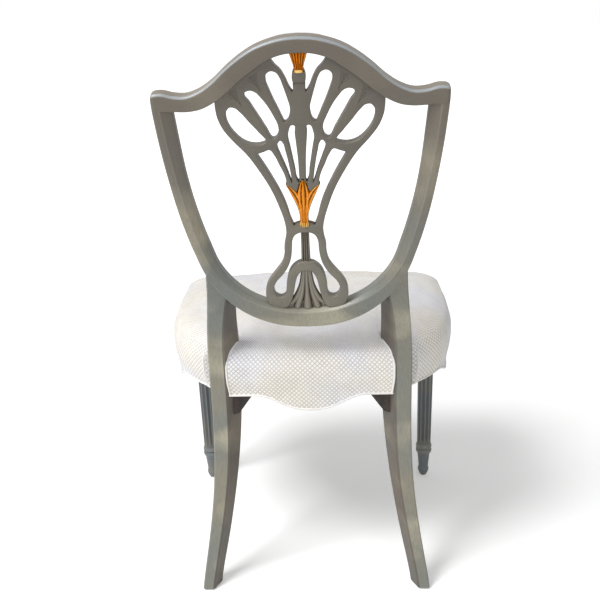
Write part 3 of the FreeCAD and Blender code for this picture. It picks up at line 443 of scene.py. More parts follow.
class Board:
    """Lays out the shader nodes of one material."""

    def __init__(self, name: str) -> None:
        """Starts a material with an empty principled shader."""
        self.material = bpy.data.materials.new(name)
        self.material.use_nodes = True
        self.nodes = self.material.node_tree.nodes
        self.links = self.material.node_tree.links
        self.shader = self.nodes["Principled BSDF"]

    def add(self, kind: str, settings: dict | None = None, **inputs: object) -> bpy.types.Node:
        """Adds a node.

        Args:
            kind: The node's type.
            settings: Its properties.
            **inputs: Its sockets by name, underscores for spaces, or by place as i0, i1 and so on, where two
                share a name. Each takes a number, a colour or another node's socket.

        Returns:
            The node.
        """
        node = self.nodes.new(kind)
        for key, value in (settings or {}).items():
            setattr(node, key, value)
        for key, value in inputs.items():
            self.feed(node.inputs[int(key[1:]) if key[0] == "i" and key[1:].isdigit() else key.replace("_", " ")],
                      value)
        return node

    def feed(self, socket: bpy.types.NodeSocket, value: object) -> None:
        """Links a socket to another, or sets its value."""
        if isinstance(value, bpy.types.NodeSocket):
            self.links.new(value, socket)
        else:
            socket.default_value = value

    def place(self) -> bpy.types.NodeSocket:
        """Object coordinates."""
        return self.add("ShaderNodeTexCoord").outputs["Object"]

    def run(self, name: str = "run") -> bpy.types.NodeSocket:
        """One of the piece's own UVs."""
        return self.add("ShaderNodeUVMap", {"uv_map": name}).outputs["UV"]

    def mark(self, name: str = "relief") -> bpy.types.NodeSocket:
        """One of the piece's own attributes."""
        return self.add("ShaderNodeAttribute", {"attribute_name": name}).outputs["Fac"]

    def stretch(self, source: bpy.types.NodeSocket, scale: tuple[float, float, float]) -> bpy.types.NodeSocket:
        """Scales coordinates."""
        return self.add("ShaderNodeMapping", Vector=source, Scale=scale).outputs["Vector"]

    def noise(self, source: bpy.types.NodeSocket, scale: float, detail: float = 4.0) -> bpy.types.NodeSocket:
        """Cloudy noise from 0 to 1."""
        return self.add("ShaderNodeTexNoise", Vector=source, Scale=scale, Detail=detail).outputs["Fac"]

    def between(self, source: bpy.types.NodeSocket, low: float, high: float, start: float = 0.0,
                end: float = 1.0) -> bpy.types.NodeSocket:
        """Moves a range of numbers onto another."""
        return self.add("ShaderNodeMapRange", i0=source, i1=low, i2=high, i3=start, i4=end).outputs["Result"]

    def blend(self, share: bpy.types.NodeSocket | float, first: object, second: object,
              way: str = "MIX") -> bpy.types.NodeSocket:
        """Mixes two colours."""
        node = self.add("ShaderNodeMix", {"data_type": "RGBA", "blend_type": way})
        self.feed(node.inputs["Factor"], share)
        self.feed(node.inputs["A"], first)
        self.feed(node.inputs["B"], second)
        return node.outputs["Result"]

    def wash(self, under: object, over: Printed, height: bpy.types.NodeSocket, low: float, high: float,
             most: float = 1.0) -> bpy.types.NodeSocket:
        """Lays a printed colour over another: none of it where the height is low, the most of it where high.

        Args:
            under: The colour below.
            over: The colour that is laid on.
            height: What it follows.
            low: Height where it starts.
            high: Height where it is full; it may be the smaller of the two.
            most: Its share where it is full.

        Returns:
            The mixed colour.
        """
        return self.blend(self.between(height, low, high, 0.0, most), under, tone(*over))

    def sum(self, way: str, first: object, second: object = 0.0) -> bpy.types.NodeSocket:
        """One operation on numbers."""
        return self.add("ShaderNodeMath", {"operation": way}, i0=first, i1=second).outputs["Value"]

    def bump(self, height: bpy.types.NodeSocket, distance: float, strength: float = 1.0) -> None:
        """Raises the surface by a height."""
        node = self.add("ShaderNodeBump", Height=height, Distance=distance, Strength=strength)
        self.links.new(node.outputs["Normal"], self.shader.inputs["Normal"])

    def coat(self, **inputs: object) -> bpy.types.Material:
        """Feeds the shader's own sockets, named as in add, and returns the finished material."""
        for key, value in inputs.items():
            self.feed(self.shader.inputs[key.replace("_", " ")], value)
        return self.material


def tone(red: int, green: int, blue: int) -> tuple[float, float, float, float]:
    """Shader colour of a printed colour: each part over 255, to the power 2.2."""
    return ((red / 255) ** 2.2, (green / 255) ** 2.2, (blue / 255) ** 2.2, 1.0)


@dataclass(frozen=True)
class Glaze:
    """Painted and glazed wood: two tones that cloud into each other, pale clouds that are partly painted sheen, brushed
    streaks, dark hollows and painted shade, pale edges and painted highlights.
    """

    name: str
    base: Printed = (132, 128, 113)
    cool: Printed = (112, 119, 115)
    warm_sheen: Printed = (184, 178, 154)
    upper: Printed = (96, 85, 73)
    hollow: Printed = (60, 42, 32)
    edge: Printed = (164, 160, 146)
    brushed: Printed = (96, 88, 79)
    grain: tuple[float, float, float] = (9.0, 9.0, 1.2)
    roughness: float = 0.41

    def make(self) -> bpy.types.Material:
        """Builds the material."""
        board = Board(self.name)
        place = board.place()
        warm_sheen_clouds = board.noise(board.stretch(place, (2.1, 2.1, 3.4)), 3.2, 2.0)
        level = board.add("ShaderNodeSeparateXYZ", i0=place).outputs["Z"]
        colour = board.wash(tone(*self.base), self.cool, board.noise(place, 5.5, 3.0), 0.38, 0.66)
        # Pale clouds at random places, which also stand in for painted sheen on the glaze.
        colour = board.wash(colour, self.warm_sheen, warm_sheen_clouds, 0.5, 0.72)
        colour = board.wash(colour, self.upper, level, 0.52, 0.9, 0.8)
        streak = board.noise(board.stretch(place, self.grain), 46.0, 5.0)
        colour = board.wash(colour, self.brushed, streak, 0.3, 0.75, 0.35)
        speck = board.noise(place, 420.0, 3.0)
        colour = board.wash(colour, self.hollow, speck, 0.58, 0.78, 0.28)
        relief = board.mark()
        # Low relief: dark glaze in carved hollows, and painted shade on the faces and recesses that a piece marks low.
        colour = board.wash(colour, self.hollow, relief, 0.45, 0.0)
        # High relief: pale rubbed edges, and painted highlights on the edges and ridges that a piece marks high.
        colour = board.wash(colour, self.edge, relief, 0.6, 1.0, 0.75)
        board.bump(board.sum("ADD", streak, board.sum("MULTIPLY", speck, 0.5)), 0.00022, 0.55)
        rough = board.between(streak, 0.2, 0.8, self.roughness - 0.07, self.roughness + 0.12)
        return board.coat(Base_Color=colour, Roughness=rough, Coat_Weight=0.12, Coat_Roughness=0.3)


@dataclass(frozen=True)
class Gilding:
    """Antiqued gold leaf: amber metal, brown in its hollows and pale on its edges."""

    name: str
    gold: Printed = (228, 142, 14)
    hollow: Printed = (104, 52, 12)
    edge: Printed = (250, 208, 128)

    def make(self) -> bpy.types.Material:
        """Builds the material."""
        board = Board(self.name)
        place = board.place()
        relief = board.mark()
        wander = board.noise(place, 260.0, 4.0)
        depth = board.sum("ADD", relief, board.between(wander, 0.2, 0.8, -0.22, 0.22))
        colour = board.wash(tone(*self.gold), self.hollow, depth, 0.5, 0.05)
        colour = board.wash(colour, self.edge, depth, 0.85, 1.15, 0.6)
        board.bump(wander, 0.0004, 0.6)
        return board.coat(Base_Color=colour, Metallic=0.4, Roughness=board.between(wander, 0.2, 0.8, 0.3, 0.5))


@dataclass(frozen=True)
class Weave:
    """Woven cloth: two sets of threads that cross on the slant, with slubs and soft clouds of tone."""

    name: str
    thread: Printed = (237, 233, 223)
    shade: Printed = (160, 152, 147)
    tint: Printed = (230, 231, 237)
    pitch: float = 0.0082
    slant: bool = True
    lift: float = 0.0007
    two_plans: bool = False

    def threads(self, board: Board, source: bpy.types.NodeSocket, pitch: float) -> bpy.types.NodeSocket:
        """Height of the cloth between its threads' lines: the smaller of |sin| of two crossing runs.

        Args:
            board: The material's board.
            source: Coordinates in metres.
            pitch: Distance between two threads.

        Returns:
            A height from 0 between the threads to 1 on top.
        """
        wander = board.add("ShaderNodeTexNoise", Vector=source, Scale=70.0, Detail=3.0).outputs["Color"]
        shifted = board.add("ShaderNodeVectorMath", {"operation": "MULTIPLY_ADD"}, i0=wander,
                            i1=(0.0013, 0.0013, 0.0), i2=source).outputs["Vector"]
        parts = board.add("ShaderNodeSeparateXYZ", i0=shifted)
        first, second = parts.outputs["X"], parts.outputs["Y"]
        if self.slant:
            first, second = board.sum("ADD", first, second), board.sum("SUBTRACT", first, second)
        ridges = []
        for line in (first, second):
            wave = board.sum("SINE", board.sum("MULTIPLY", line, math.pi / pitch))
            ridges.append(board.sum("ABSOLUTE", wave))
        lost = board.between(board.noise(source, 45.0, 3.0), 0.35, 0.7, 0.0, 0.14)
        return board.sum("ADD", board.sum("POWER", board.sum("MINIMUM", ridges[0], ridges[1]), 0.55), lost)

    def make(self) -> bpy.types.Material:
        """Builds the material."""
        board = Board(self.name)
        height = self.threads(board, board.run(), self.pitch)
        if self.two_plans:
            flat = self.threads(board, board.run("plan"), self.pitch * 0.5)
            top = board.mark("top")
            height = board.sum("ADD", board.sum("MULTIPLY", height, board.between(top, 0.0, 1.0, 1.0, 0.0)),
                               board.sum("MULTIPLY", flat, top))
        place = board.place()
        fibre = board.noise(board.stretch(place, (1.0, 1.0, 2.0)), 900.0, 3.0)
        ground = board.wash(tone(*self.thread), self.tint, board.noise(place, 7.0, 2.0), 0.42, 0.66)
        depth = board.sum("ADD", board.between(height, 0.15, 1.0, 0.85, 0.0),
                          board.between(fibre, 0.3, 0.7, -0.14, 0.12))
        colour = board.blend(depth, ground, tone(*self.shade))
        board.bump(board.sum("ADD", height, board.sum("MULTIPLY", fibre, 0.25)), self.lift, 0.8)
        return board.coat(Base_Color=colour, Roughness=0.86, Sheen_Weight=0.25)


@dataclass(frozen=True)
class PlainWood:
    """Bare or stained timber with its growth rings and pores."""

    name: str
    light: Printed = (196, 164, 118)
    dark: Printed = (146, 108, 68)
    grain: tuple[float, float, float] = (1.6, 14.0, 14.0)

    def make(self) -> bpy.types.Material:
        """Builds the material."""
        board = Board(self.name)
        place = board.stretch(board.place(), self.grain)
        rings = board.add("ShaderNodeTexWave", {"wave_type": "BANDS"}, Vector=place, Scale=9.0, Distortion=5.0,
                          Detail=3.0, Detail_Scale=1.5).outputs["Fac"]
        pores = board.noise(place, 160.0, 4.0)
        colour = board.blend(rings, tone(*self.light), tone(*self.dark))
        colour = board.wash(colour, self.dark, pores, 0.55, 0.75, 0.6)
        board.bump(board.sum("ADD", rings, pores), 0.0003, 0.4)
        return board.coat(Base_Color=colour, Roughness=board.between(pores, 0.2, 0.8, 0.48, 0.68))


@dataclass(frozen=True)
class Steel:
    """Bright steel with fine wear."""

    name: str
    colour: Printed = (186, 186, 182)
    worn_colour: Printed = (118, 112, 104)

    def make(self) -> bpy.types.Material:
        """Builds the material."""
        board = Board(self.name)
        wear = board.noise(board.place(), 380.0, 5.0)
        colour = board.wash(tone(*self.colour), self.worn_colour, wear, 0.4, 0.8)
        board.bump(wear, 0.0001, 0.4)
        return board.coat(Base_Color=colour, Metallic=1.0, Roughness=board.between(wear, 0.2, 0.8, 0.26, 0.46))


@dataclass
class Finishes:
    """Every finish of the chair, each made once."""

    frame_glaze: bpy.types.Material = field(default_factory=Glaze("frame_glaze").make)
    # The crest's pale blue edge colour is a painted reflection of the sky along its top edge.
    crest_glaze: bpy.types.Material = field(
        default_factory=Glaze("crest_glaze", grain=(1.4, 9.0, 9.0), edge=(168, 182, 194)).make)
    splat_glaze: bpy.types.Material = field(
        default_factory=Glaze("splat_glaze", base=(119, 113, 100), cool=(110, 110, 101), warm_sheen=(136, 130, 110),
                                      upper=(88, 83, 74), edge=(136, 130, 116)).make)
    leg_glaze: bpy.types.Material = field(
        default_factory=Glaze("leg_glaze", base=(108, 115, 117), cool=(100, 110, 116),
                                      warm_sheen=(124, 122, 112), hollow=(44, 44, 43), edge=(138, 144, 142)).make)
    # Dark glaze for the carved lines, which also paints the shadow line under the crest.
    carving: bpy.types.Material = field(
        default_factory=Glaze("carving_and_shadow_glaze", base=(72, 60, 50), cool=(68, 60, 51), warm_sheen=(78, 62, 50),
                                      upper=(70, 57, 48), edge=(84, 74, 64), roughness=0.6).make)
    gilding: bpy.types.Material = field(default_factory=Gilding("gold_leaf").make)
    pale_gilding: bpy.types.Material = field(
        default_factory=Gilding("pale_leaf", gold=(236, 190, 104), hollow=(120, 70, 24),
                                        edge=(255, 232, 176)).make)
    cloth: bpy.types.Material = field(default_factory=Weave("seat_cloth", two_plans=True).make)
    welting: bpy.types.Material = field(
        default_factory=Weave("welt_cloth", thread=(242, 239, 234), shade=(206, 202, 197), pitch=0.0024,
                                      lift=0.0003).make)
    under_cloth: bpy.types.Material = field(
        default_factory=Weave("dust_cloth", thread=(56, 54, 52), shade=(30, 29, 28), tint=(64, 62, 60),
                                      pitch=0.0015, slant=False, lift=0.0002).make)
    straps: bpy.types.Material = field(
        default_factory=Weave("strap_jute", thread=(176, 148, 104), shade=(118, 92, 58), tint=(166, 142, 106),
                                      pitch=0.003, slant=False, lift=0.0004).make)
    rail_wood: bpy.types.Material = field(default_factory=PlainWood("rail_beech").make)
    bracket_wood: bpy.types.Material = field(
        default_factory=PlainWood("bracket_stain", light=(58, 47, 40), dark=(34, 27, 23)).make)
    steel: bpy.types.Material = field(default_factory=Steel("nail_steel").make)


def dress(piece: bpy.types.Object, material: bpy.types.Material, slot: Slot, *nodes: str) -> bpy.types.Object:
    """Gives a piece its finish, and hides the nodes that it stands for."""
    piece.data.materials.clear()
    piece.data.materials.append(material)
    if nodes:
        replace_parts(piece, *nodes)
    LOG.info("%s: %d faces, %s", piece.name, len(piece.data.polygons), material.name)
    return piece


@dataclass
class ShieldFrame:
    """Crest rail and the shield's stiles and base rail."""

    finishes: Finishes
    depth: float = 24.0
    moulding: float = 8.5
    joint: int = 6
    steps: int = 8
    ear: float = 5.0
    tuck: float = 2.5
    # Painted highlight along the crest's upper back edge, and painted shadow along its lower back edge.
    crest_highlight_and_shadow: tuple[tuple[int, int, float], ...] = ((9, 13, 0.8), (0, 3, 0.2))
    # Shield: pale outer edge and ridge, partly rubbed wear and partly painted highlight, and painted shade at the foot
    # of the bevel.
    shield_wear_highlight_and_shade: tuple[tuple[int, int, float], ...] = ((1, 4, 0.74), (6, 9, 0.68), (10, 13, 0.42))

    def crest(self) -> None:
        """Crest: a soft-cornered box between its two edges, carried across, with rounded ears."""
        upper, lower = smooth_run(CREST_UPPER, self.steps), smooth_run(CREST_LOWER, self.steps)
        across = upper[:, 0]
        low = np.interp(across, lower[:, 0], lower[:, 1])
        half = np.column_stack([across, low, upper[:, 1]])
        ear = self.ear
        turn = np.linspace(0, math.pi / 2, 7)[1:]
        end = np.column_stack([half[-1, 0] - ear + ear * np.sin(turn), half[-1, 1] + ear * (1 - np.cos(turn)),
                               half[-1, 2] - ear * (1 - np.cos(turn))])
        half = np.vstack([half[half[:, 0] < half[-1, 0] - ear], end])
        line = both_halves(half)
        inset = np.concatenate([(ear * (1 - np.cos(turn)))[::-1], np.zeros(len(line) - 12), ear * (1 - np.cos(turn))])
        corners = np.stack([np.stack([line[:, 1], inset], 1), np.stack([line[:, 2], inset], 1),
                            np.stack([line[:, 2], self.depth - inset], 1),
                            np.stack([line[:, 1], self.depth - inset], 1)], axis=1)
        ring = soft_corners(corners, [2.2, 5.5, 6.0, 2.6], 6)
        relief = wear_and_light_runs(ring.shape[:2], self.crest_highlight_and_shadow)
        grid = lean(line[:, :1], ring[..., 0], ring[..., 1])
        dress(surface("crest", grid, relief), self.finishes.crest_glaze, Slot.GLAZED_WOOD, "crest_rail")

    def sections(self, rows: np.ndarray) -> tuple[np.ndarray, np.ndarray]:
        """Moulded sections of the shield.

        The outer strip is flat as far as the ridge; the bevel then falls to the inner edge.

        Args:
            rows: Outer across and up, turn in degrees, strip and bevel widths.

        Returns:
            The grid of points, and the height of its carving.
        """
        strip, bevel = rows[:, 3], rows[:, 3] + rows[:, 4]
        none = np.zeros(len(rows))
        corners = np.stack([np.stack([none, none], 1), np.stack([strip, none], 1),
                            np.stack([bevel, none + self.moulding], 1), np.stack([bevel, none + self.depth], 1),
                            np.stack([none, none + self.depth], 1)], axis=1)
        ring = soft_corners(corners, [2.6, 1.6, 1.6, 2.4, 2.6], 4)
        turn = np.radians(rows[:, 2])[:, None]
        across = rows[:, :1] - np.cos(turn) * ring[..., 0]
        up = rows[:, 1:2] + np.sin(turn) * ring[..., 0]
        relief = wear_and_light_runs(ring.shape[:2], self.shield_wear_highlight_and_shade)
        return lean(across, up, ring[..., 1]), relief

    def shield(self) -> None:
        """Stiles, tucked under the crest at their tops, and the base rail between them."""
        rows = smooth_run(SHIELD, self.steps)
        joint = self.joint * self.steps
        stile = rows[: joint + 1].copy()
        stile[0, 1] += self.tuck
        for side, sign in SIDES:
            grid, relief = self.sections(stile)
            grid = grid * [sign, 1, 1]
            dress(surface("stile_" + side, grid, relief), self.finishes.frame_glaze, Slot.GLAZED_WOOD,
                  "shield_stile_" + side)
        half_grid, half_relief = self.sections(rows[joint:])
        other = half_grid[::-1][1:] * [-1, 1, 1]
        grid = np.concatenate([half_grid, other])
        relief = np.concatenate([half_relief, half_relief[::-1][1:]])
        dress(surface("base_rail", grid, relief), self.finishes.frame_glaze, Slot.GLAZED_WOOD, "shield_base_rail")

    def build(self) -> None:
        """Builds the crest and the shield."""
        self.crest()
        self.shield()


@dataclass
class Splat:
    """Pierced fan with its stem, plume and gilt ornaments."""

    finishes: Finishes
    back: float = 4.5
    front: float = 17.5
    soft: float = 1.3
    proud: float = 1.6

    def outlines(self) -> list[np.ndarray]:
        """Outer outline of the fan and its windows, as smooth closed runs in millimetres."""
        half = np.vstack([np.asarray(COLLAR[:-1], float), smooth_run(FAN_NOTCH, 6)[:-1], smooth_run(FAN_TOP, 4)[:-1],
                          smooth_run(FAN_SIDE, 6)])
        window = smooth_run(STEM_WINDOW, 6)
        lotus = np.vstack([[(0, 250)], smooth_run(LOTUS_WINDOW_SIDE, 5)[:-1], smooth_run(LOTUS_WINDOW_TOP, 5)[:-1],
                           np.asarray(LOTUS_SEAT, float)])
        runs = [whole_ring(line) for line in (half, window, lotus)]
        for petal in PETALS:
            ring = smooth_run(petal, 6, closed=True)
            runs += [ring, ring * [-1, 1]]
        turned = []
        for index, run in enumerate(runs):
            after = np.roll(run, -1, axis=0)
            area = np.sum(run[:, 0] * after[:, 1] - after[:, 0] * run[:, 1])
            turned.append(run if (area > 0) == (index == 0) else run[::-1])
        return turned

    def fan(self) -> None:
        """Fan: its outlines filled, thickened and softened at every edge."""
        curve = bpy.data.curves.new("fan_outline", "CURVE")
        curve.dimensions = "2D"
        curve.fill_mode = "BOTH"
        curve.extrude = ((self.front - self.back) / 2 - self.soft) * MM
        curve.bevel_depth = self.soft * MM
        curve.bevel_resolution = 2
        curve.offset = -self.soft * MM
        for run in self.outlines():
            spline = curve.splines.new("POLY")
            spline.points.add(len(run) - 1)
            rows = np.column_stack([run * MM, np.zeros(len(run)), np.ones(len(run))])
            spline.points.foreach_set("co", rows.astype(np.float32).ravel())
            spline.use_cyclic_u = True
        holder = bpy.data.objects.new("fan_outline", curve)
        bpy.context.scene.collection.objects.link(holder)
        graph = bpy.context.evaluated_depsgraph_get()
        mesh = bpy.data.meshes.new_from_object(holder.evaluated_get(graph))
        bpy.data.objects.remove(holder)
        flat = np.empty(len(mesh.vertices) * 3, np.float32)
        mesh.vertices.foreach_get("co", flat)
        flat = flat.reshape(-1, 3) / MM
        half = (self.front - self.back) / 2
        placed = lean(flat[:, 0], flat[:, 1], (self.front + self.back) / 2 - flat[:, 2])
        mesh.vertices.foreach_set("co", placed.astype(np.float32).ravel())
        # Softened edges a little higher, and the side walls of the fan and its piercings low: painted shade on the
        # walls.
        rim = np.where(np.abs(flat[:, 2]) > half - 0.01, 0.5, 0.62) - 0.3 * (np.abs(flat[:, 2]) < half - self.soft)
        mesh.attributes.new("relief", "FLOAT", "POINT").data.foreach_set("value", rim.astype(np.float32))
        shape = bmesh.new()
        shape.from_mesh(mesh)
        bmesh.ops.remove_doubles(shape, verts=shape.verts, dist=2e-6)
        bmesh.ops.recalc_face_normals(shape, faces=shape.faces)
        shape.to_mesh(mesh)
        shape.free()
        LOG.info("fan half width %.1f mm", float(np.abs(flat[:, 0]).max()))
        dress(show("fan", mesh, 50.0), self.finishes.splat_glaze, Slot.GLAZED_WOOD, "splat_fret")

    def carving(self) -> None:
        """Nested lines cut between the petals, the groove under the collar, and a painted shadow line under the crest.
        """
        deep = self.back + 0.15
        groove = lean(np.array([-8.4, 0.0, 8.4]), np.full(3, 472.8), np.full(3, self.back))
        dress(tube("collar_groove", groove, 0.9 * MM), self.finishes.carving, Slot.GLAZED_WOOD)
        # Painted shadow: a dark line along the crest's lower edge, where it meets the fan.
        lower = smooth_run(CREST_LOWER, 8)
        for side, sign in SIDES:
            seat = lower[(lower[:, 0] > 40) & (lower[:, 0] < 118.5)]
            path = lean(seat[:, 0] * sign, seat[:, 1] - 0.2, np.full(len(seat), self.back))
            dress(tube("crest_shadow_line_" + side, path, 0.7 * MM, sides=6), self.finishes.carving, Slot.GLAZED_WOOD)
        for husk, (across, up, turn) in enumerate(HUSKS):
            spin = np.radians(turn)
            for number, line in enumerate(HUSK_LINES):
                run = smooth_run(line, 6)
                turned = np.column_stack([run[:, 0] * math.cos(spin) - run[:, 1] * math.sin(spin) + across,
                                          run[:, 0] * math.sin(spin) + run[:, 1] * math.cos(spin) + up])
                for side, sign in SIDES:
                    path = lean(turned[:, 0] * sign, turned[:, 1], np.full(len(turned), deep))
                    dress(tube(f"husk_{husk}_{number}_{side}", path, 0.4 * MM, sides=6), self.finishes.carving,
                          Slot.GLAZED_WOOD)

    def stem_and_plume(self) -> None:
        """Grooved stem behind the band and the arch, and the leaves that spread from its foot."""
        glaze, wood = self.finishes.splat_glaze, Slot.GLAZED_WOOD
        dress(leaf("stem", STEM, (8.5, self.front + 0.4), ribs=4, boxy=0.22, groove=0.42), glaze, wood, "splat_stem")
        dress(leaf("band_step", BAND_STEP, (self.back + 2.5, self.front - 1.0), ribs=1, groove=0.05), glaze, wood)
        leaves = {"middle": PLUME_MIDDLE}
        for side, sign in SIDES:
            leaves["inner_" + side] = turned_over(PLUME_INNER, sign)
            leaves["outer_" + side] = turned_over(PLUME_OUTER, sign)
        for name, line in leaves.items():
            near = self.back + 1.0 + {"middle": 0.0, "inner": 0.8, "outer": 1.6}[name.split("_")[0]]
            piece = leaf("plume_" + name, line, (near, self.front - 1.5), ribs=1, boxy=0.75, groove=0.2)
            dress(piece, glaze, wood, *(["splat_plume"] if name == "middle" else []))

    def gilt(self) -> None:
        """Gilt lotus of three petals on a scalloped foot, and the gilt tassel under the crest."""
        back, front = self.back - self.proud, self.front + self.proud
        gold, pale = self.finishes.gilding, self.finishes.pale_gilding
        carvings = [("lotus_middle", LOTUS_MIDDLE, 0.0, 3, 0.3, gold, ["gilt_lotus"])]
        carvings += [("lotus_" + side, turned_over(LOTUS_PETAL, sign), -0.9, 2, 0.28, gold, []) for side, sign in SIDES]
        carvings += [("lotus_foot", LOTUS_FOOT, 0.8, 5, 0.2, pale, []),
                     ("tassel", TASSEL, 0.0, 6, 0.34, gold, ["gilt_tassel"]),
                     ("tassel_ring", TASSEL_RING, 0.2, 1, 0.0, pale, [])]
        for name, line, raised, ribs, groove, finish, nodes in carvings:
            dress(leaf(name, line, (back - raised, front + raised), ribs=ribs, groove=groove), finish, Slot.GILDING,
                  *nodes)

    def build(self) -> None:
        """Builds the fan and everything in it."""
        self.fan()
        self.carving()
        self.stem_and_plume()
        self.gilt()


@dataclass
class Legs:
    """Fluted front legs and swept rear legs."""

    finishes: Finishes
    across: float = 234.5
    along: float = -206.4
    flutes: int = 10
    flute_depth: float = 2.3
    shaft: tuple[float, float] = (84.0, 362.0)
    block: float = 18.0
    top: float = 438.0
    points_per_flute: int = 18
    flute_half: float = 0.37
    run_out: float = 9.0

    def front_grid(self) -> tuple[np.ndarray, np.ndarray]:
        """Turned leg: radius by height round the axis, less a half-round hollow for each flute.

        Above the shaft the circle grows into a square: radius over the larger of |cos| and |sin|.

        Returns:
            The grid in metres about the leg's own axis, and the height of its carving.
        """
        low, high = self.shaft
        foot = np.asarray(LEG_PROFILE, float)
        levels = np.concatenate([np.linspace(low, low + 10, 6), np.linspace(low + 16, high - 16, 14),
                                 np.linspace(high - 10, high, 6)])
        shaft = np.column_stack([np.interp(levels, [low, high], [14.75, 17.25]), levels])
        neck = np.array([(17.25, 365), (18.2, 368), (18.2, 372), (17.8, 375), (self.block, 378), (self.block, 379),
                         (self.block, self.top)])
        line = np.vstack([foot, shaft, neck])
        turn = np.linspace(0, 2 * math.pi, self.flutes * self.points_per_flute, endpoint=False)
        pitch = (turn * self.flutes / (2 * math.pi) + 0.5) % 1 - 0.5
        hollow = np.sqrt(np.clip(1 - (pitch / self.flute_half) ** 2, 0, 1))[None, :]
        inside = np.clip(np.minimum(line[:, 1] - low, high - line[:, 1]) / self.run_out, 0, 1)[:, None] ** 0.5
        cut = self.flute_depth * hollow * inside
        square = np.clip((line[:, 1] - 376) / 2, 0, 1)[:, None]
        stretch = 1 + square * (1 / np.maximum(np.abs(np.cos(turn)), np.abs(np.sin(turn))) - 1)[None, :]
        radius = (line[:, :1] * stretch - cut) * MM
        grid = np.stack([radius * np.cos(turn), radius * np.sin(turn),
                         np.broadcast_to(line[:, 1:] * MM, radius.shape)], axis=-1)
        ringed = np.interp(line[:, 1], [60, 62, 66, 68, 70, 72, 76, 80], [0.5, 0.75, 0.7, 0.05, 0.6, 0.75, 0.5, 0.3])
        relief = ringed[:, None] + 0.2 * (1 - hollow) * (inside > 0.5) - 0.16 * hollow * inside
        return grid, np.broadcast_to(relief, radius.shape)

    def build(self) -> None:
        """Builds the four legs."""
        grid, relief = self.front_grid()
        for side, sign in SIDES:
            placed = grid + [sign * self.across * MM, self.along * MM, 0]
            dress(surface("fluted_leg_" + side, placed, relief), self.finishes.leg_glaze, Slot.GLAZED_WOOD,
                  "front_leg_" + side)
            dress(carried_copy("swept_leg_" + side, "rear_leg_" + side), self.finishes.frame_glaze, Slot.GLAZED_WOOD)


